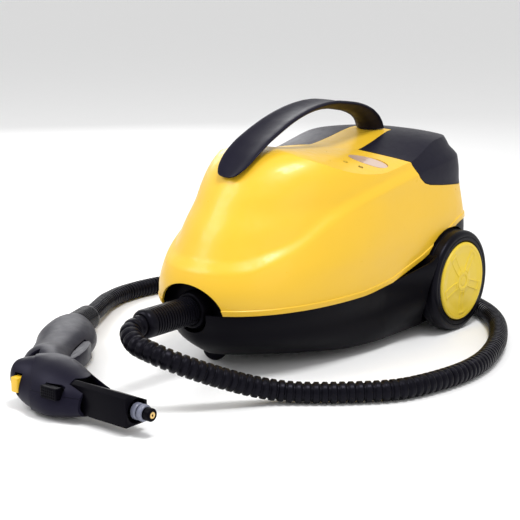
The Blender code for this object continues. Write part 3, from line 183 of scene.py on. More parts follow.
# along X: half-width in Y, half-height in Z, sideways shift, middle height, and how far the section leans
# away from the near side as it rises
HEAD = ((-88.0, 10.0, 11.0, -10.5, 35.5, 0.1), (-85.0, 15.5, 16.5, -9.5, 34.5, 0.12),
        (-78.0, 20.5, 20.5, -7.5, 32.5, 0.2), (-69.0, 24.5, 24.2, -5.0, 30.8, 0.3),
        (-56.0, 28.5, 26.8, -2.0, 29.0, 0.4),
        (-38.0, 29.5, 26.8, -3.0, 28.4, 0.45), (-18.0, 27.5, 25.0, -5.0, 26.6, 0.45),
        (4.0, 22.5, 20.5, -5.0, 25.2, 0.4),
        (20.0, 18.8, 17.6, -3.2, 24.8, 0.3), (38.0, 16.5, 15.2, -1.5, 25.0, 0.2))
HEAD_POWER = 2.3  # squareness of the head's section
HEAD_FRONT = ((17.0, -450.0), (34.0, -375.0))  # the oblique line in plan where the head's shell ends
SEAM = (-52.0, -432.0)  # where the rear cap's seam crosses the near side
SEAM_RUN = (-0.633, 0.774)  # the seam's direction in plan
SEAM_LONG = 56.0
GRIP_START = (-62.0, -392.0)
GRIP_AHEAD = (-0.65, 0.76)  # the grip's direction in plan
# distance along the grip: half-width, half-height, sideways shift
GRIP = ((0.0, 22.0, 24.0, -2.0), (30.0, 27.5, 26.0, -12.0), (60.0, 28.5, 21.5, -10.0),
        (85.0, 31.0, 21.0, -7.0),
        (115.0, 34.0, 22.5, -4.0), (145.0, 36.0, 23.0, -4.0), (172.0, 33.0, 22.0, -4.5),
        (196.0, 27.5, 20.0, -5.0),
        (208.0, 22.0, 18.2, -4.0), (214.0, 17.6, 17.0, -3.0))
GRIP_DROP = 5.0  # how much lower the grip's axis is at its far end
SLEEVE_GUN_Z = 23.6  # height of the grip's mouth
CONNECTOR = ((22.0, -427.0, 10.0), (84.0, -396.0, 44.0))
TRIGGER_ROOM = ((18.5, 3.0), (24.0, 24.0), (42.0, 34.0), (66.0, 42.0), (102.0, 44.0), (104.0, 26.0),
                (103.0, 6.0),
                (60.0, -2.0), (34.0, -2.0))
TRIGGER_HALF = 9.0
BUTTON = (-12.0, -445.5, 32.0)  # middle of the release button's outer face
BUTTON_HALF = (12.0, 6.5)
LOCK = ((-75.0, -442.5, 19.5), (-64.5, -431.0, 36.5))
LOCK_TRAVEL = 3.0

# ---------------- how finely the shapes are drawn
COLUMNS = 220  # facets around the body
HULL_ROWS = 32
SKIN_ROWS = 70  # rows up the outside of the shell and the lid
INNER_ROWS = 16  # and up the inside of their walls
CUTTER_ROWS = 34
TOP_SHARES = (0.02, 0.06, 0.12, 0.2, 0.3, 0.4, 0.5, 0.6, 0.7, 0.8, 0.9)  # rows in towards the top's middle
OVAL_SIDES = 112
ARCH_SIDES = 64
GUN_SIDES = 96
HEAD_ROWS = 40
GRIP_ROWS = 48
TYRE_SIDES = 144
HUB_SIDES = 300
HUB_ROWS = 96
HOSE_SIDES = 40
HOSE_STEP = 0.9  # millimetres between the hose's rings
SLEEVE_SIDES = 72

# ---------------- detail that the solids leave out
LIP_ROWS = (0.0, 0.5, 3.0, 6.0, 6.4, 6.8, 7.2, 8.0)  # heights above the shell's lower edge
LIP_HIGH = 6.6  # the raised border above the shell's lower edge
LIP_OUT = 1.2
SPOKES = 5
HUB_TURN = 0.33  # turns the spokes as they stand in the photo
TYRE_ROUND = 6.0  # radius of the tyre's shoulders
TREAD_DEPTH = 0.7  # the line around the middle of the tread
PITCH_FRONT, PITCH_REAR = 9.6, 6.2  # the hose's ribs near the machine and beyond the bend
PITCH_CHANGE = (420.0, 760.0)  # how far along the hose the pitch changes
RIB_DEPTH = 2.2
SLEEVE_RIB = 4.2  # pitch of the rings on a sleeve
SLEEVE_GAP = 6.0  # from the grip's mouth to the sleeve, and on to the hose's end inside it
SLEEVE_REACH = 5.2  # how much nearer the grip's mouth the gun's sleeve starts than its solid
MARK_HALF = 0.36  # half-width of a printed stroke
MARK_PROUD = 0.12
BUTTON_ROWS, BUTTON_PITCH = (7, 4), (3.0, 2.9)  # raised blocks on the release button
CUTTERS = []  # objects removed at the end


def ramp(value, start, stop):
    """Smooth 0 to 1 as value goes from start to stop."""
    share = min(1.0, max(0.0, (value - start) / (stop - start)))
    return share * share * (3.0 - 2.0 * share)


def along(table, value, column=1):
    """A smooth reading of one column of a table whose first column rises."""
    last = len(table) - 1
    if value <= table[0][0]:
        return table[0][column]
    if value >= table[last][0]:
        return table[last][column]
    i = next(k for k in range(last) if value <= table[k + 1][0])
    x0, x1 = table[i][0], table[i + 1][0]
    y0, y1 = table[i][column], table[i + 1][column]
    before, after = table[max(i - 1, 0)], table[min(i + 2, last)]
    slope0 = (y1 - before[column]) / (x1 - before[0])
    slope1 = (after[column] - y0) / (after[0] - x0)
    t = (value - x0) / (x1 - x0)
    width = x1 - x0
    return ((2 * t**3 - 3 * t**2 + 1) * y0 + (t**3 - 2 * t**2 + t) * width * slope0
            + (3 * t**2 - 2 * t**3) * y1 + (t**3 - t**2) * width * slope1)


def solid(name, points, faces, shown=False):
    """A mesh object from points in millimetres. It is a cutter unless shown."""
    mesh = bpy.data.meshes.new(name)
    mesh.from_pydata([Vector(p) * MM for p in points], [], faces)
    grid = bmesh.new()
    grid.from_mesh(mesh)
    bmesh.ops.remove_doubles(grid, verts=grid.verts, dist=0.00001 * MM)
    bmesh.ops.recalc_face_normals(grid, faces=grid.faces)
    grid.to_mesh(mesh)
    grid.free()
    made = bpy.data.objects.new(name, mesh)
    bpy.context.collection.objects.link(made)
    if not shown:
        CUTTERS.append(made)
    return made


def combine(target, other, operation="DIFFERENCE"):
    """Cuts one object from another, or joins or crosses the two, by a modifier."""
    step = target.modifiers.new(operation.lower() + "_" + other.name, "BOOLEAN")
    step.operation = operation
    step.solver = "EXACT"
    step.object = other
    return target


def joined(name, pieces):
    """Pieces that don't touch each other, made one object."""
    grid = bmesh.new()
    for piece in pieces:
        grid.from_mesh(piece.data)
        bpy.data.objects.remove(piece)
    mesh = bpy.data.meshes.new(name)
    grid.to_mesh(mesh)
    grid.free()
    made = bpy.data.objects.new(name, mesh)
    bpy.context.collection.objects.link(made)
    return made


def bundle(name, cutters):
    for cutter in cutters:
        CUTTERS.remove(cutter)
    made = joined(name, cutters)
    CUTTERS.append(made)
    return made


def grid_faces(rows, count):
    """Quads between successive rings of count points each."""
    return [(r * count + c, r * count + (c + 1) % count, (r + 1) * count + (c + 1) % count,
             (r + 1) * count + c)
            for r in range(rows - 1) for c in range(count)]


def lofted(name, rings, shown=False, first=None, last=None):
    """A closed solid through rings of equal length, closed on first and last or on the rings' middles."""
    count = len(rings[0])
    points = [p for ring in rings for p in ring]
    faces = grid_faces(len(rings), count)
    for ring, row, pole in ((rings[0], 0, first), (rings[-1], len(rings) - 1, last)):
        middle = pole or tuple(sum(p[k] for p in ring) / count for k in range(3))
        points.append(middle)
        tip = len(points) - 1
        faces += [(row * count + c, row * count + (c + 1) % count, tip) for c in range(count)]
    return solid(name, points, faces, shown)


def axes_of(direction):
    """Two directions square to this one and to each other."""
    forward = Vector(direction).normalized()
    side = forward.orthogonal() if abs(forward.z) > 0.9 else Vector((0, 0, 1)).cross(forward)
    side.normalize()
    return side, forward.cross(side)


def circle(centre, direction, radius, sides):
    side, up = axes_of(direction)
    middle = Vector(centre)
    return [tuple(middle + side * (radius * math.cos(a)) + up * (radius * math.sin(a)))
            for a in (2 * math.pi * (k + 0.37) / sides for k in range(sides))]


def ring_solid(name, centre, direction, profile, sides):
    """A turned ring: profile is a closed loop of (radius, distance along the axis)."""
    forward = Vector(direction).normalized()
    base = Vector(centre)
    rings = [circle(base + forward * h, direction, r, sides) for r, h in profile]
    points = [p for ring in rings + rings[:1] for p in ring]
    return solid(name, points, grid_faces(len(rings) + 1, sides), shown=True)


def rod(name, start, end, radius, sides=SIDES):
    span = Vector(end) - Vector(start)
    far = Vector(start) + span.normalized() * span.length
    return lofted(name, [circle(place, span, radius, sides) for place in (start, far)])


def block(name, low, high, shown=False):
    points = [(x, y, z) for x in (low[0], high[0]) for y in (low[1], high[1]) for z in (low[2], high[2])]
    faces = [(0, 1, 3, 2), (4, 6, 7, 5), (0, 4, 5, 1), (2, 3, 7, 6), (0, 2, 6, 4), (1, 5, 7, 3)]
    return solid(name, points, faces, shown)


def prism(name, outline, start, end, axis):
    """An outline of two coordinates, swept along the third from start to end."""
    order = {"X": lambda a, b, s: (s, a, b),
             "Y": lambda a, b, s: (a, s, b),
             "Z": lambda a, b, s: (a, b, s)}[axis]
    count = len(outline)
    points = [order(a, b, s) for s in (start, end) for a, b in outline]
    faces = grid_faces(2, count) + [tuple(range(count)), tuple(range(count, 2 * count))]
    return solid(name, points, faces)


def smooth_route(route, step):
    """Points about one step apart on a smooth curve through the route."""
    points = [Vector(p) for p in route]
    ends = [points[0] * 2 - points[1], *points, points[-1] * 2 - points[-2]]
    fine = []
    for a, b, c, d in zip(ends, ends[1:], ends[2:], ends[3:]):
        for k in range(12):
            t = k / 12
            fine.append(0.5 * (2 * b + (c - a) * t + (2 * a - 5 * b + 4 * c - d) * t**2
                               + (3 * b - a - 3 * c + d) * t**3))
    fine.append(points[-1])
    spans = [(q - p).length for p, q in zip(fine, fine[1:])]
    count = max(2, round(sum(spans) / step))
    wanted = [sum(spans) * k / count for k in range(count + 1)]
    found, passed, i = [], 0.0, 0
    for distance in wanted:
        while i < len(spans) - 1 and passed + spans[i] < distance:
            passed += spans[i]
            i += 1
        found.append(fine[i].lerp(fine[i + 1], min(1.0, (distance - passed) / spans[i])))
    return found


def crown(x, y):
    return along(CROWN, y) - along(CROWN_FALL, y) * x * x


def underside(y):
    return FLOOR_REAR + (FLOOR_NOSE - FLOOR_REAR) * ramp(-y, 60.0, 180.0)


def flare(y, z):
    reach = ramp(y, 5.0, 80.0) * (1.0 - ramp(y, 112.0, 158.0))
    return FLARE * reach * ramp(z, 15.0, 62.0) * (1.0 - ramp(z, 98.0, 130.0))


def outline(turn, z, inset=0.0, flared=False):
    """The body's plan at one height: turn 0 is the nose tip, half a turn the tail."""
    half, nose, tail, width_power, length_power = (along(HULL, z, k) for k in (1, 2, 3, 4, 5))
    sine, cosine = math.sin(turn), math.cos(turn)
    rear = cosine < 0
    y = (tail if rear else -nose) * abs(cosine) ** (2 / (TAIL_POWER if rear else length_power))
    step = SHELF * crisp(along(SHELF_LINE, y) - z, 1.5, SHELF_BAND - 6.0)
    step = step - SHELF * ramp(90.0 - z, 0.0, 40.0) - inset
    x = (half - SHELF + step) * math.copysign(abs(sine) ** (2 / (TAIL_POWER if rear else width_power)), sine)
    y = (y / (tail if rear else nose)) * ((tail if rear else nose) - SHELF + step)
    if flared and abs(sine) > 1e-6:
        x += math.copysign(flare(y, z), sine) * min(1.0, abs(x) / 60.0)
    return x, y


def edge_height(turn, drop=0.0):
    """Height of the shell's lower edge on this column."""
    z = 90.0
    for _ in range(12):
        z = along(SHELL_EDGE, outline(turn, z)[1]) - drop
    return z


def top_height(turn, inset):
    """Where this column's side meets the crowned top."""
    low, high = 150.0, HULL[-1][0]
    for _ in range(30):
        z = (low + high) / 2
        x, y = outline(turn, z, inset)
        if z < crown(x, y) - inset:
            low = z
        else:
            high = z
    return low


def turns():
    return [2 * math.pi * k / COLUMNS for k in range(COLUMNS)]


def side_row(share, lows, highs, inset, flared=False):
    """A row around the body, at this share of the way from one edge to another."""
    row = []
    for turn, low, high in zip(turns(), lows, highs):
        z = low + (high - low) * share
        row.append((*outline(turn, z, inset, flared), z))
    return row


def top_row(share, edge, inset):
    """A row of the crowned top, drawn in from the edge towards the middle."""
    row = []
    for x, y, z in edge:
        inner = (x * (1 - share), MID_Y + (y - MID_Y) * (1 - share))
        drop = (crown(x, y) - inset - z) * (1 - share) ** 4
        row.append((*inner, crown(*inner) - inset - drop))
    return row


def body_core(name, inset, low):
    """A solid that fills the body from one height up, as a cutter."""
    rows, tip = dome(inset, [low] * COLUMNS)
    return lofted(name, rows, first=(0.0, MID_Y, low), last=tip)


def lid_region(name, grow):
    """What the rear lid covers: the side outline swept across, less the tongue."""
    sides = [(y - grow if y < 240 else y, z - grow if z < 300 else z) for y, z in LID_SIDE]
    region = prism(name, sides, -160.0, 160.0, "X")
    front, rear = TONGUE_FRONT_HALF - grow, TONGUE_REAR_HALF - grow
    corners = [(-front, LID_FRONT - 3), (front, LID_FRONT - 3), (rear, TONGUE_END - grow),
               (-rear, TONGUE_END - grow)]
    tongue = prism(name + "_tongue", corners, 150.0, 310.0, "Z")
    return combine(region, tongue)


def lid_sweep(name):
    """The room that the lid's rear edge swings through behind and below its hinge."""
    arc = [math.radians(-106 + 7 * k) for k in range(17)]
    corners = [(HINGE_Y + SWEEP_R * math.cos(a), HINGE_Z + SWEEP_R * math.sin(a)) for a in arc]
    corners += [(HINGE_Y + SWEEP_R, HINGE_Z + 8.0), (corners[0][0], HINGE_Z + 8.0)]
    return prism(name, corners, -SWEEP_HALF, SWEEP_HALF, "X")


def upper_shell():
    lows = [edge_height(turn) for turn in turns()]
    shell = skin("upper_shell_new", lows)
    combine(shell, lid_region("cut_lid_opening", LID_GAP))
    arch = [(ARCH_HALF * math.cos(a), OUTLET_Z - 1.0 + (ARCH_HEIGHT + 1.0) * math.sin(a))
            for a in (math.pi * k / ARCH_SIDES for k in range(ARCH_SIDES + 1))]
    combine(shell, prism("cut_arch", arch + [(-ARCH_HALF, 60.0), (ARCH_HALF, 60.0)], -270.0, -150.0, "Y"))
    combine(shell, oval("cut_lens", LENS, LENS_HALF, LENS_TURN, 200.0, 260.0))
    combine(shell, block("cut_hinge_room", (-HINGE_HALF - 3, HINGE_Y - 13, HINGE_Z - 6),
                         (HINGE_HALF + 3, 230, 200)))
    combine(shell, lid_sweep("cut_lid_sweep"))
    rooms = [rod("tyre_room", (side * WELL_X, WHEEL_Y, TYRE_R), (side * 180.0, WHEEL_Y, TYRE_R),
                 TYRE_R + WELL_GAP)
             for side in (-1, 1)]
    return combine(shell, bundle("cut_tyre_rooms", rooms))


def oval(name, middle, halves, turn_deg, low, high, shown=False):
    """An oval column. A shown one follows the crowned top: low and high are then depths under it."""
    turn = math.radians(turn_deg)
    rings = []
    for z in (low, high):
        ring = []
        for k in range(OVAL_SIDES):
            a = 2 * math.pi * k / OVAL_SIDES
            u, v = halves[0] * math.cos(a), halves[1] * math.sin(a)
            x = middle[0] + u * math.cos(turn) - v * math.sin(turn)
            y = middle[1] + u * math.sin(turn) + v * math.cos(turn)
            ring.append((x, y, crown(x, y) - z if shown else z))
        rings.append(ring)
    return lofted(name, rings, shown)


def rear_lid():
    blank = skin("rear_lid_new", [LID_BLANK_LOW] * COLUMNS)
    combine(blank, lid_region("keep_lid", 0.0), "INTERSECT")
    barrel = rod("lid_barrel", (-HINGE_HALF, HINGE_Y, HINGE_Z), (HINGE_HALF, HINGE_Y, HINGE_Z),
                 HINGE_R + 1.6, sides=16)
    combine(blank, barrel, "UNION")
    bore = rod("cut_lid_bore", (-200, HINGE_Y, HINGE_Z), (200, HINGE_Y, HINGE_Z), HINGE_R + RUN_GAP)
    return combine(blank, bore)


def hull(name, inset, rise, shown=False):
    """The chassis filled solid up to rise above its rim, and drawn in by inset."""
    rims = [edge_height(turn, EDGE_GAP) + rise for turn in turns()]
    floors = [underside(outline(turn, 20.0)[1]) + inset for turn in turns()]
    rows = [side_row(k / HULL_ROWS, rims, floors, inset, flared=True) for k in range(HULL_ROWS + 1)]
    for share in (0.85, 0.5):
        sole = [(x * share, MID_Y + (y - MID_Y) * share) for x, y, _ in rows[HULL_ROWS]]
        rows.append([(x, y, underside(y) + inset) for x, y in sole])
    top, bottom = (0.0, MID_Y, TUB_MIDDLE + rise), (0.0, MID_Y, FLOOR_REAR + inset)
    return lofted(name, rows, shown, first=top, last=bottom)


def recesses(name, wall):
    """Both wheel wells and the caster's pocket, as cutters grown by wall."""
    made = []
    for side in (-1, 1):
        ends = [(side * x, WHEEL_Y, TYRE_R) for x in (WELL_X - wall, 180.0)]
        made.append(rod(f"{name}_well_{side}", *ends, TYRE_R + WELL_GAP + wall))
    made.append(rod(name + "_pocket", (0, CASTER_Y, -9), (0, CASTER_Y, POCKET_TOP + wall),
                    pocket_radius() + wall))
    return made


def chassis():
    """The tub: a wall and floor with a wheel well on either side and a pocket for the caster."""
    tub = hull("chassis_base_new", 0.0, 0.0, shown=True)
    inside = hull("cut_chassis_inside", WALL, 25.0)
    combine(inside, bundle("recess_walls", recesses("wall", WALL)))
    combine(tub, inside)
    cutters = recesses("room", 0.0)
    cutters.append(rod("hole_nose", (0, -280, OUTLET_Z), (0, BEZEL_Y + 8, OUTLET_Z), COLLAR_R + 4.5))
    cutters.append(rod("hole_gland", (GLAND[0], 150, GLAND[2]), (GLAND[0], 240, GLAND[2]), GLAND_R + GAP))
    for x, y in screw_places():
        cutters.append(rod("hole_screw", (x, y, 5), (x, y, 30), SCREW_R + GAP, sides=16))
    combine(tub, bundle("cut_chassis_rooms", cutters))
    axle = rod("hole_axle", (-170, WHEEL_Y, TYRE_R), (170, WHEEL_Y, TYRE_R), AXLE_R + GAP)
    stem = rod("hole_stem", (0, CASTER_Y, POCKET_TOP - 1), (0, CASTER_Y, POCKET_TOP + 9), STEM_R + RUN_GAP)
    return combine(tub, bundle("cut_chassis_bores", [axle, stem]))


def pocket_radius():
    return CASTER_TRAIL + CASTER_R + 2.0


def screw_places():
    return [(x, y) for y in (-40.0, 176.0) for x in (-72.0, 72.0)]


def carry_handle():
    """A broad dished blade from a leaf on the hood, over the hand hollow, to a foot on the tongue."""
    stations = []
    for a, b in zip(HANDLE_TOP, HANDLE_TOP[1:]):
        stations += [a, ((a[0] + b[0]) / 2, (a[1] + b[1]) / 2)]
    stations.append(HANDLE_TOP[-1])
    rings = []
    for i, (y, z) in enumerate(stations):
        before, after = stations[max(i - 1, 0)], stations[min(i + 1, len(stations) - 1)]
        run = Vector((0, after[0] - before[0], after[1] - before[1])).normalized()
        up = Vector((0, -run.z, run.y))
        half, thick = along(HANDLE_HALF, y), along(HANDLE_THICK, y)
        edge = min(thick * 0.55, 6.0)
        shape = [(-half, -edge * 0.5), (-half * 0.9, -edge), (-half * 0.45, -thick), (0, -thick - 0.5),
                 (half * 0.45, -thick), (half * 0.9, -edge), (half, -edge * 0.5), (half * 0.9, 0.0),
                 (half * 0.45, -HANDLE_DISH * 0.8), (0, -HANDLE_DISH), (-half * 0.45, -HANDLE_DISH * 0.8),
                 (-half * 0.9, 0.0)]
        rings.append([tuple(Vector((u, y, z)) + up * v) for u, v in shape])
    handle = lofted("carry_handle_new", rings, shown=True)
    round_off = handle.modifiers.new("round", "SUBSURF")
    round_off.levels = round_off.render_levels = 3
    return combine(handle, body_core("cut_handle_seat", -3 * GAP, 150.0))


def rounded(turn, power):
    """Cosine and sine of a turn, squared off by power."""
    return tuple(math.copysign(abs(v) ** (2 / power), v) for v in (math.cos(turn), math.sin(turn)))


def head_rings(inset):
    """The gun's head as rings along X, drawn in by inset."""
    rings = []
    for x, half, high, shift, height, lean in finer(HEAD, HEAD_ROWS):
        ring = []
        for k in range(GUN_SIDES):
            across, up = rounded(2 * math.pi * (k + 0.4) / GUN_SIDES, HEAD_POWER)
            rise = (high - inset) * up
            ring.append((x, GUN_AXIS_Y + shift + (half - inset) * across + lean * rise, height + rise))
        rings.append(ring)
    if inset:
        rings[0] = [(x + inset, y, z) for x, y, z in rings[0]]
        rings.append([(x + 9.0, y, z) for x, y, z in rings[-1]])
    return rings


def on_grip(distance, side):
    """A point in plan, by distance along the grip and to its inner side."""
    ahead = Vector(GRIP_AHEAD).normalized()
    return Vector(GRIP_START) + ahead * distance + Vector((ahead.y, -ahead.x)) * side


def gun_grip(name, grow):
    """The grip as one solid, grown or drawn in."""
    last = GRIP[-1][0]
    rings = []
    for distance, half, high, shift in finer(GRIP, GRIP_ROWS):
        height = GUN_Z - GRIP_DROP * distance / last
        if grow < 0 and distance in (0.0, last):
            distance += 9.0 if distance else 2.0
        ring = []
        for k in range(GUN_SIDES):
            a = 2 * math.pi * (k + 0.4) / GUN_SIDES
            x, y = on_grip(distance, shift + (half + grow) * math.cos(a))
            ring.append((x, y, height + (high + grow) * math.sin(a)))
        rings.append(ring)
    return lofted(name, rings)


def gun_body(name, inset, shown=False):
    """Head and grip as one solid, drawn in by inset."""
    return combine(lofted(name, head_rings(inset), shown), gun_grip(name + "_grip", -inset), "UNION")


def beyond_seam(name, shift):
    """Where the rear cap sits, grown by shift on the sides that face the shell."""
    run = Vector(SEAM_RUN)
    ahead = Vector((run.y, -run.x))
    start = Vector(SEAM) + ahead * shift
    near, far = run * -60.0, run * (SEAM_LONG + shift)
    back = ahead * -150.0
    return prism(name, [tuple(start + p) for p in (near, far, far + back, near + back)], -30.0, 110.0, "Z")


def gun_shells():
    """Two half shells that meet on a level plane, hollow inside."""
    hollow = gun_body("cut_gun_inside", GUN_WALL)
    (x0, y0), (x1, y1) = HEAD_FRONT
    rooms = bundle("cut_gun_rooms", [
        beyond_seam("behind_seam", GAP / 2),
        prism("past_front", [(x0, y0), (x1, y1), (x1 + 90, y1), (x0 + 90, y0)], -30.0, 90.0, "Z"),
        on_grip_prism("trigger_room", TRIGGER_ROOM, TRIGGER_HALF + 0.8),
        button_block("button_room", GAP, 14.0)])
    (low_x, low_y, low_z), (high_x, high_y, high_z) = CONNECTOR
    socket = block("cut_gun_socket", (low_x - 20, low_y - GAP, low_z - GAP),
                   (high_x, high_y + GAP, high_z + GAP))
    halves = (("gun_shell_lower", GUN_Z - GAP / 2, 90.0), ("gun_shell_upper", -20.0, GUN_Z + GAP / 2))
    for name, low, high in halves:
        shell = gun_body(name + "_new", 0.0, shown=True)
        for cutter in (hollow, rooms, socket):
            combine(shell, cutter)
        combine(shell, block("cut_" + name, (-330.0, -520.0, low), (130.0, -120.0, high)))


def gun_cap():
    """The rear cap, a hollow bowl with a slot for the lock."""
    cap = lofted("gun_end_cap_new", head_rings(CAP_STEP), shown=True)
    combine(cap, lofted("cut_cap_inside", head_rings(CAP_STEP + GUN_WALL)[1:]))
    combine(cap, beyond_seam("keep_cap", -GAP / 2), "INTERSECT")
    low, high = LOCK
    combine(cap, block("cut_lock_slot", (low[0] - GAP, low[1] - 9, low[2] - LOCK_TRAVEL - GAP),
                       (high[0] + GAP, high[1] + 2, high[2] + LOCK_TRAVEL + GAP)))


def on_grip_prism(name, corners, half):
    points = [tuple(on_grip(*corner)) for corner in corners]
    return prism(name, points, GUN_Z - half, GUN_Z + half, "Z")


def button_block(name, grow, depth):
    """The room of the release button on the head's near side."""
    x, y, z = BUTTON
    half_x, half_z = BUTTON_HALF
    return block(name, (x - half_x - grow, y, z - half_z - grow),
                 (x + half_x + grow, y + depth, z + half_z + grow))


# ---------------- rows of the body and the gun
def crisp(value, start, stop):
    """0 to 1 as value goes from start to stop, with edges that catch the light."""
    share = min(1.0, max(0.0, (value - start) / (stop - start)))
    return 0.25 * ramp(value, start, stop) + 0.75 * share


def finer(table, count):
    """The table read at evenly spaced values of its first column."""
    low, high = table[0][0], table[-1][0]
    columns = range(1, len(table[0]))
    places = [low + (high - low) * k / count for k in range(count)] + [high]
    return [(v, *(along(table, v, c) for c in columns)) for v in places]


def dome(inset, lows, rows=CUTTER_ROWS):
    """Rows from a low edge with a raised lip up over the top, and the point in its middle."""
    highs = [top_height(turn, inset) for turn in turns()]
    sides = []
    for above in LIP_ROWS:
        out = inset - LIP_OUT * (1.0 - ramp(above, LIP_HIGH - 0.6, LIP_HIGH + 0.5))
        sides.append([(*outline(turn, low + above, out), low + above) for turn, low in zip(turns(), lows)])
    starts = [low + LIP_ROWS[-1] for low in lows]
    sides += [side_row((k / rows) ** 0.9, starts, highs, inset) for k in range(1, rows + 1)]
    tops = [top_row(share, sides[-1], inset) for share in TOP_SHARES]
    return sides + tops, (0.0, MID_Y, crown(0.0, MID_Y) - inset)


def skin(name, lows):
    """A wall that follows the body from a low edge up over the top."""
    outside, outer_tip = dome(0.0, lows, SKIN_ROWS)
    inside, inner_tip = dome(WALL, lows, INNER_ROWS)
    return lofted(name, outside[::-1] + inside, shown=True, first=outer_tip, last=inner_tip)


# ---------------- where everything sits
axle_low, axle_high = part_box("rear_axle")
# from the machine's own place to the frame's, in metres
SHIFT = (Vector(axle_low) + Vector(axle_high)) / 2 - Vector((0, WHEEL_Y, TYRE_R)) * MM
BODY = {node: body for body, nodes in frame["record"]["behaviour"]["bodies"].items() for node in nodes}
SLOT = {entry["node"]: entry["material_slot"] for entry in frame["record"]["subparts"]}


# ---------------- materials
EDGE_RADIUS = 0.0006  # metres by which a shaded edge looks rounded


def node_of(tree, kind, **values):
    """A shader node with its settings and its unlinked inputs filled in."""
    made = tree.nodes.new(kind)
    for key, value in values.items():
        if hasattr(made, key):
            setattr(made, key, value)
        else:
            made.inputs[key.replace("_", " ")].default_value = value
    return made


def finish(name, colour, roughness, metallic=0.0, *, grain, scale, blotch, coat=0.0, spread=0.09, shine=0.5,
           sheen=(1.0, 1.0, 1.0)):
    """A moulded, turned or rubber surface: mottled colour, uneven gloss, a fine grain and softened edges."""
    made = bpy.data.materials.new(name)
    made.use_nodes = True
    tree = made.node_tree
    shader = tree.nodes["Principled BSDF"]
    place = node_of(tree, "ShaderNodeTexCoord").outputs["Object"]
    clouds = node_of(tree, "ShaderNodeTexNoise", Scale=14.0, Detail=4.0)
    patches = node_of(tree, "ShaderNodeTexNoise", Scale=90.0, Detail=6.0, Roughness=0.65)
    fine = node_of(tree, "ShaderNodeTexNoise", Scale=scale, Detail=2.0)
    for texture in (clouds, patches, fine):
        tree.links.new(place, texture.inputs["Vector"])
    mix = node_of(tree, "ShaderNodeMix", data_type="RGBA")
    mix.inputs["A"].default_value = (*(c * (1 - blotch) for c in colour), 1.0)
    mix.inputs["B"].default_value = (*(min(1.0, c * (1 + blotch)) for c in colour), 1.0)
    tree.links.new(clouds.outputs["Fac"], mix.inputs["Factor"])
    tree.links.new(mix.outputs["Result"], shader.inputs["Base Color"])
    gloss = node_of(tree, "ShaderNodeMapRange")
    gloss.inputs["From Min"].default_value = 0.3
    gloss.inputs["From Max"].default_value = 0.7
    gloss.inputs["To Min"].default_value = max(0.04, roughness - spread)
    gloss.inputs["To Max"].default_value = min(1.0, roughness + spread)
    tree.links.new(patches.outputs["Fac"], gloss.inputs["Value"])
    tree.links.new(gloss.outputs["Result"], shader.inputs["Roughness"])
    soft = node_of(tree, "ShaderNodeBevel", samples=4, Radius=EDGE_RADIUS)
    bump = node_of(tree, "ShaderNodeBump", Strength=grain, Distance=0.0002)
    tree.links.new(fine.outputs["Fac"], bump.inputs["Height"])
    tree.links.new(soft.outputs["Normal"], bump.inputs["Normal"])
    tree.links.new(bump.outputs["Normal"], shader.inputs["Normal"])
    shader.inputs["Metallic"].default_value = metallic
    shader.inputs["Coat Weight"].default_value = coat
    shader.inputs["Specular IOR Level"].default_value = shine
    shader.inputs["Specular Tint"].default_value = (*sheen, 1.0)
    return made


LOOKS = {
    "shell_yellow": finish("yellow_shell", (0.78, 0.475, 0.024), 0.36, grain=0.08, scale=1400.0, blotch=0.03,
                           coat=0.10, shine=0.4),
    "hub_yellow": finish("yellow_hub", (0.74, 0.53, 0.030), 0.42, grain=0.10, scale=1400.0, blotch=0.03,
                         shine=0.4),
    "lid_slate": finish("slate_plastic", (0.0065, 0.0058, 0.0125), 0.40, grain=0.10, scale=1600.0,
                        blotch=0.08, spread=0.05, shine=0.13, sheen=(0.72, 0.70, 1.0)),
    "black_plastic": finish("black_plastic", (0.0018, 0.0016, 0.0028), 0.38, grain=0.10, scale=1600.0,
                            blotch=0.08, spread=0.05, shine=0.05, sheen=(0.80, 0.78, 1.0)),
    "rubber_black": finish("black_rubber", (0.0022, 0.0020, 0.0036), 0.34, grain=0.14, scale=1100.0,
                           blotch=0.10, spread=0.06, shine=0.11, sheen=(0.80, 0.78, 1.0)),
    "steel": finish("drawn_steel", (0.60, 0.60, 0.61), 0.30, 1.0, grain=0.15, scale=700.0, blotch=0.05),
    "brass": finish("turned_brass", (0.70, 0.48, 0.19), 0.28, 1.0, grain=0.12, scale=700.0, blotch=0.08),
    "nozzle_grey": finish("grey_plastic", (0.16, 0.17, 0.23), 0.34, grain=0.15, scale=1400.0, blotch=0.06),
    "cream_plastic": finish("cream_plastic", (0.72, 0.69, 0.58), 0.45, grain=0.15, scale=1200.0, blotch=0.05),
    "lamp_red": finish("red_lamp", (0.55, 0.06, 0.03), 0.20, grain=0.05, scale=900.0, blotch=0.04, coat=0.4),
    "lens_clear": finish("tinted_lens", (0.60, 0.42, 0.32), 0.12, grain=0.03, scale=900.0, blotch=0.16,
                         coat=0.6),
}


# ---------------- putting pieces in place
def applied(made):
    """Turns the modifiers into mesh."""
    graph = bpy.context.evaluated_depsgraph_get()
    mesh = bpy.data.meshes.new_from_object(made.evaluated_get(graph))
    made.modifiers.clear()
    made.data = mesh


def shifted(made):
    """From the machine's own place to the frame's."""
    for corner in made.data.vertices:
        corner.co += SHIFT


def placed(made, node, angle):
    """Applies the cuts, moves the piece into the frame and puts it in place of its CAD node."""
    applied(made)
    shifted(made)
    return dressed(made, node, angle)


def dressed(made, node, angle, name=None):
    """Gives a piece the material of its slot, and its body. With no name of its own it stands in for the CAD
    node.
    """
    mesh = made.data
    mesh.materials.clear()
    mesh.materials.append(LOOKS[SLOT[node]])
    mesh.shade_smooth()
    mesh.set_sharp_from_angle(angle=math.radians(angle))
    made.name = name or node + "_shape"
    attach(made, BODY[node])
    if name is None:
        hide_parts(node)
    return made


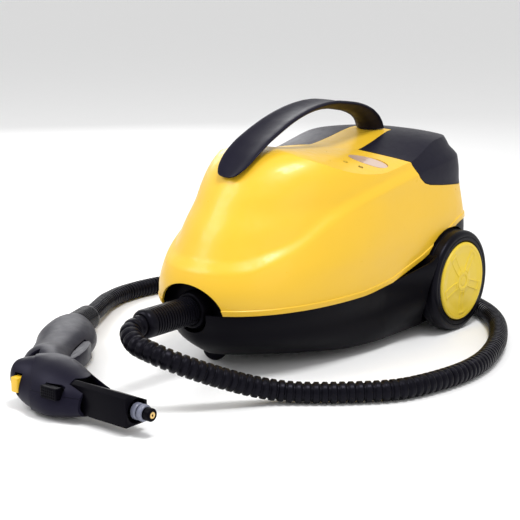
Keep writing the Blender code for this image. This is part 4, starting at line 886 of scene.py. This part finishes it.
def softened(node, width):
    """A copy of a CAD node with its sharp edges rounded."""
    mesh = frame["nodes"][node].data.copy()
    grid = bmesh.new()
    grid.from_mesh(mesh)
    bmesh.ops.remove_doubles(grid, verts=grid.verts, dist=0.002 * MM)
    bmesh.ops.dissolve_limit(grid, angle_limit=math.radians(1.5), verts=grid.verts, edges=grid.edges)
    grid.to_mesh(mesh)
    grid.free()
    made = bpy.data.objects.new(node + "_shape", mesh)
    bpy.context.collection.objects.link(made)
    step = made.modifiers.new("round", "BEVEL")
    step.width = width * MM
    step.segments = 3
    step.limit_method = "ANGLE"
    step.angle_limit = math.radians(30)
    applied(made)
    dressed(made, node, 35.0)


def swept(points, radius_at, sides):
    """Rings about closely spaced points, whose radius follows the distance along them."""
    rings, passed = [], 0.0
    side = Vector((0, 0, 1)).cross(points[1] - points[0]).normalized()
    for k, point in enumerate(points):
        before, after = points[max(k - 1, 0)], points[min(k + 1, len(points) - 1)]
        ahead = (after - before).normalized()
        side = (side - ahead * side.dot(ahead)).normalized()
        up = ahead.cross(side)
        if k:
            passed += (point - points[k - 1]).length
        r = radius_at(passed)
        rings.append([tuple(point + (side * math.cos(a) + up * math.sin(a)) * r)
                      for a in (2 * math.pi * c / sides for c in range(sides))])
    return rings


# ---------------- body
def body():
    placed(upper_shell(), "upper_shell", 24)
    placed(rear_lid(), "rear_lid", 24)
    placed(chassis(), "chassis_base", 24)
    placed(carry_handle(), "carry_handle", 50)
    lens = oval("indicator_lens_new", LENS, [h - GAP for h in LENS_HALF], LENS_TURN, WALL, -0.4, shown=True)
    placed(lens, "indicator_lens", 40)


def icons():
    """Two small printed marks beside the lens: a power ring and a puff of steam."""
    turn = math.radians(LENS_TURN)
    for name, (x, y) in (("mark_power", (73.0, -36.0)), ("mark_steam", (89.0, -27.0))):
        if name == "mark_power":
            ring = [(2.4 * math.cos(a), 2.4 * math.sin(a)) for a in (0.5 + 5.3 * k / 24 for k in range(25))]
            strokes = [ring, [(0.0, 0.5), (3.0, 0.5)]]
        else:
            strokes = [[(u, v + 0.8 * math.sin(u * 1.6)) for u in (-3.0 + 0.5 * k for k in range(13))]
                       for v in (-1.9, 0.0, 1.9)]
        points, faces = [], []
        for stroke in strokes:
            for k, (u, v) in enumerate(stroke):
                before, after = stroke[max(k - 1, 0)], stroke[min(k + 1, len(stroke) - 1)]
                ahead = (Vector(after) - Vector(before)).normalized()
                for half in (-MARK_HALF, MARK_HALF):
                    a, b = u - ahead.y * half, v + ahead.x * half
                    px = x + a * math.cos(turn) - b * math.sin(turn)
                    py = y + a * math.sin(turn) + b * math.cos(turn)
                    points.append((px, py, crown(px, py) + MARK_PROUD))
                if k:
                    n = len(points)
                    faces.append((n - 4, n - 3, n - 1, n - 2))
        mark = solid(name + "_new", points, faces, shown=True)
        shifted(mark)
        mark.data.materials.append(LOOKS["black_plastic"])
        mark.name = name
        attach(mark, "machine")


# ---------------- wheels
def cap_height(r, a):
    """How far the wheel cap's face stands out: a dished disc with flat spokes, a hub ring and a rim."""
    base = -1.3 * ramp(r, 12.0, 22.0) * (1.0 - ramp(r, 36.0, 47.0))
    step = 2 * math.pi / SPOKES
    off = (a + step / 2) % step - step / 2
    across, reach = abs(r * math.sin(off)), r * math.cos(off)
    wide = 4.6 + reach * 0.035
    spoke = ramp(wide - across, -0.4, 0.4) * ramp(r, 13.2, 14.0) * (1.0 - ramp(r, 43.0, 44.0))
    line = ramp(wide - 1.5 - across, -0.35, 0.35) * ramp(r, 15.5, 16.3) * (1.0 - ramp(r, 40.5, 41.3))
    ring = ramp(r, 8.2, 8.9) * (1.0 - ramp(r, 12.6, 13.3))
    middle = 1.0 - ramp(r, 5.2, 6.0)
    rim = ramp(r, 45.6, 46.4) * (1.0 - ramp(r, 49.0, HUB_CAP_R) ** 2)
    return base + 1.0 * spoke - 0.7 * line + 0.9 * ring + 0.5 * middle + 0.5 * rim


def tyre_profile():
    """The closed outline of a tyre with rounded shoulders, a line in the tread and a groove in the wall."""
    inner, outer = TYRE_INNER_X, TYRE_OUTER_X
    quarter = [math.pi / 2 * k / 10 for k in range(10, -1, -1)]
    core, bead = TYRE_R - TYRE_ROUND, RIM_R + GAP
    back = [(core + TYRE_ROUND * math.cos(a), inner + TYRE_ROUND - TYRE_ROUND * math.sin(a)) for a in quarter]
    line = [(TYRE_R, inner + 13.0), (TYRE_R - TREAD_DEPTH, inner + 13.4),
            (TYRE_R - TREAD_DEPTH, inner + 14.6), (TYRE_R, inner + 15.0)]
    shoulder = [(core + TYRE_ROUND * math.sin(a), outer - TYRE_ROUND + TYRE_ROUND * math.cos(a))
                for a in quarter]
    wall = [(TYRE_R - 7.5, outer), (TYRE_R - 8.0, outer - 0.8), (TYRE_R - 8.8, outer - 0.8),
            (TYRE_R - 9.3, outer), (bead + 1, outer), (bead, outer - 1)]
    return [(bead, inner)] + back + line + shoulder + wall


def wheels():
    face = TYRE_OUTER_X - 2.4 + HUB_CAP_T
    angles = [2 * math.pi * c / HUB_SIDES for c in range(HUB_SIDES)]
    for name, side in (("left", -1), ("right", 1)):
        middle = (0.0, WHEEL_Y, TYRE_R)
        tyre = ring_solid("tyre_new_" + name, middle, (side, 0, 0), tyre_profile(), TYRE_SIDES)
        placed(tyre, "tyre_" + name, 30)
        rings = []
        for r in (0.6 + (HUB_CAP_R - 0.6) * k / HUB_ROWS for k in range(HUB_ROWS + 1)):
            drop = 1.6 * max(0.0, (r - (HUB_CAP_R - 1.8)) / 1.8) ** 2
            rings.append([(side * (face - 1.2 - drop + cap_height(r, a + HUB_TURN)),
                           WHEEL_Y + r * math.cos(a), TYRE_R + r * math.sin(a)) for a in angles])
        rings.append([(side * (face - 4.2), y, z) for _, y, z in rings[-1]])
        placed(lofted("cap_new_" + name, rings, shown=True), "hub_cap_" + name, 60)
        softened("rim_" + name, 0.6)


# ---------------- hose and its sleeves
def hose():
    """The ribbed hose from the nose to the gun, and the sleeve at either end."""
    mouth = Vector((*on_grip(GRIP[-1][0], GRIP[-1][3]), SLEEVE_GUN_Z))
    end = Vector(GUN_SLEEVE_END)
    ahead = (end - mouth).normalized()
    start = mouth + ahead * SLEEVE_GAP
    inside = start + ahead * SLEEVE_GAP
    route = [*HOSE_ROUTE, tuple(end), tuple(end.lerp(inside, 0.5)), tuple(inside)]
    line = smooth_route(route, HOSE_STEP)
    turns_at, passed, phase = [], 0.0, 0.0
    for p, q in zip(line, line[1:]):
        turns_at.append((passed, phase))
        span = (q - p).length
        passed += span
        phase += span / (PITCH_FRONT + (PITCH_REAR - PITCH_FRONT) * ramp(passed, *PITCH_CHANGE))
    turns_at.append((passed, phase))
    step = passed / (len(line) - 1)

    def radius(distance):
        share = turns_at[min(len(line) - 1, round(distance / step))][1] % 1.0
        crest = ramp(0.5 - abs(share - 0.5), 0.09, 0.24)
        return HOSE_R + 0.2 - RIB_DEPTH * (1.0 - crest)

    tube = lofted("hose_new", swept(line, radius, HOSE_SIDES), shown=True)
    placed(tube, "steam_hose", 60)
    nose_start, nose_end = Vector((0, BEZEL_Y - 2 * GAP, OUTLET_Z)), Vector((0, SLEEVE_END, OUTLET_Z))
    for node, a, b in (("sleeve_machine", nose_start, nose_end),
                       ("sleeve_gun", start - ahead * SLEEVE_REACH, end)):
        length = (b - a).length
        profile = [(HOSE_R + 0.8, 0.0), (SLEEVE_R - 0.6, 0.0), (SLEEVE_R, 1.2)]
        for k in range(int((length - 12) / SLEEVE_RIB)):
            h = 6.0 + SLEEVE_RIB * k
            profile += [(SLEEVE_R, h), (SLEEVE_R - 1.5, h + 0.4),
                        (SLEEVE_R - 1.5, h + 1.2), (SLEEVE_R, h + 1.6)]
        profile += [(SLEEVE_R, length - 5.0), (SLEEVE_R - 0.9, length - 2.4), (SLEEVE_R - 2.4, length - 0.8),
                    (HOSE_R + 1.4, length), (HOSE_R + 0.8, length)]
        sleeve = ring_solid(node + "_new", tuple(a), tuple(b - a), profile, SLEEVE_SIDES)
        placed(sleeve, node, 30)


# ---------------- steam gun
# how far the edges of each small piece are rounded, in millimetres
GUN_EDGES = {"lock_slider": 1.4, "release_button": 1.0, "gun_trigger": 2.2, "connector_body": 1.2,
             "nozzle_tube": 0.5, "nozzle_ring_1": 0.5, "nozzle_ring_2": 0.5, "steam_jet": 0.5}


def gun():
    gun_shells()
    gun_cap()
    for node in ("gun_shell_lower", "gun_shell_upper", "gun_end_cap"):
        placed(bpy.data.objects[node + "_new"], node, 34)
    for node, width in GUN_EDGES.items():
        softened(node, width)
    x, y, z = BUTTON
    ribs = []
    for k in range(BUTTON_ROWS[0]):
        for j in range(BUTTON_ROWS[1]):
            u, w = x - 9.6 + BUTTON_PITCH[0] * k, z - 4.6 + BUTTON_PITCH[1] * j
            ribs.append(block("button_rib", (u - 0.9, y - 0.5, w - 0.8),
                              (u + 0.9, y + 0.6, w + 0.8), shown=True))
    texture = joined("button_texture", ribs)
    shifted(texture)
    dressed(texture, "release_button", 30, "button_texture")


# ---------------- the rest of the nodes
OTHER_EDGES = {"caster_fork": 0.8, "caster_wheel": 1.0, "outlet_collar": 1.0, "nose_bezel": 0.6,
               "rear_deck": 0.5, "cap_knob": 1.0}


def small_pieces():
    for node, width in OTHER_EDGES.items():
        softened(node, width)
    for node, made in frame["nodes"].items():
        made.data.materials.clear()
        made.data.materials.append(LOOKS[SLOT[node]])


# ---------------- stage
CAMERA_TURN, CAMERA_RISE = 39.3, 12.93  # degrees off the nose to the right, and up
CAMERA_FAR, CAMERA_LENS = 1425.5, 89.27
AIM = (91.08, -221.37, 150.0)
FLOOR_HALF = 60  # metres
# name, place in metres, size and power of each lamp
LAMPS = (("key", (-1.0, -1.2, 1.7), 1.0, 17.0), ("fill", (2.2, -0.6, 1.0), 1.2, 3.5),
         ("top", (0.7, -0.2, 2.2), 0.6, 30.0), ("rim", (-1.6, 1.2, 0.9), 0.9, 8.0))
LAMP_AIM = (0, -0.1, 0.12)
WORLD_STRENGTH = 0.74


def stage():
    mesh = bpy.data.meshes.new("floor")
    h = FLOOR_HALF
    mesh.from_pydata([(-h, -h, 0), (h, -h, 0), (h, h, 0), (-h, h, 0)], [], [(0, 1, 2, 3)])
    floor = bpy.data.objects.new("floor", mesh)
    bpy.context.collection.objects.link(floor)
    mesh.materials.append(finish("pale_floor", (0.94, 0.94, 0.94), 0.6, grain=0.02, scale=300.0, blotch=0.01))
    aim = Vector(AIM) * MM + SHIFT
    turn, rise = math.radians(CAMERA_TURN), math.radians(CAMERA_RISE)
    away = Vector((math.sin(turn) * math.cos(rise), -math.cos(turn) * math.cos(rise), math.sin(rise)))
    data = bpy.data.cameras.new("camera")
    data.lens = CAMERA_LENS
    data.sensor_width = 36.0
    camera = bpy.data.objects.new("camera", data)
    camera.location = aim + away * CAMERA_FAR * MM
    camera.rotation_euler = (-away).to_track_quat("-Z", "Y").to_euler()
    bpy.context.collection.objects.link(camera)
    bpy.context.scene.camera = camera
    for name, place, size, power in LAMPS:
        lamp = bpy.data.lights.new(name, "AREA")
        lamp.size = size
        lamp.energy = power
        made = bpy.data.objects.new(name, lamp)
        made.location = place
        made.rotation_euler = (Vector(LAMP_AIM) - Vector(place)).to_track_quat("-Z", "Y").to_euler()
        bpy.context.collection.objects.link(made)
    world = bpy.data.worlds.new("studio")
    world.use_nodes = True
    world.node_tree.nodes["Background"].inputs["Color"].default_value = (1.0, 1.0, 1.0, 1.0)
    world.node_tree.nodes["Background"].inputs["Strength"].default_value = WORLD_STRENGTH
    bpy.context.scene.world = world
    bpy.context.scene.view_settings.view_transform = "Standard"


body()
icons()
wheels()
hose()
gun()
small_pieces()
stage()
for cutter in CUTTERS:
    bpy.data.objects.remove(cutter)
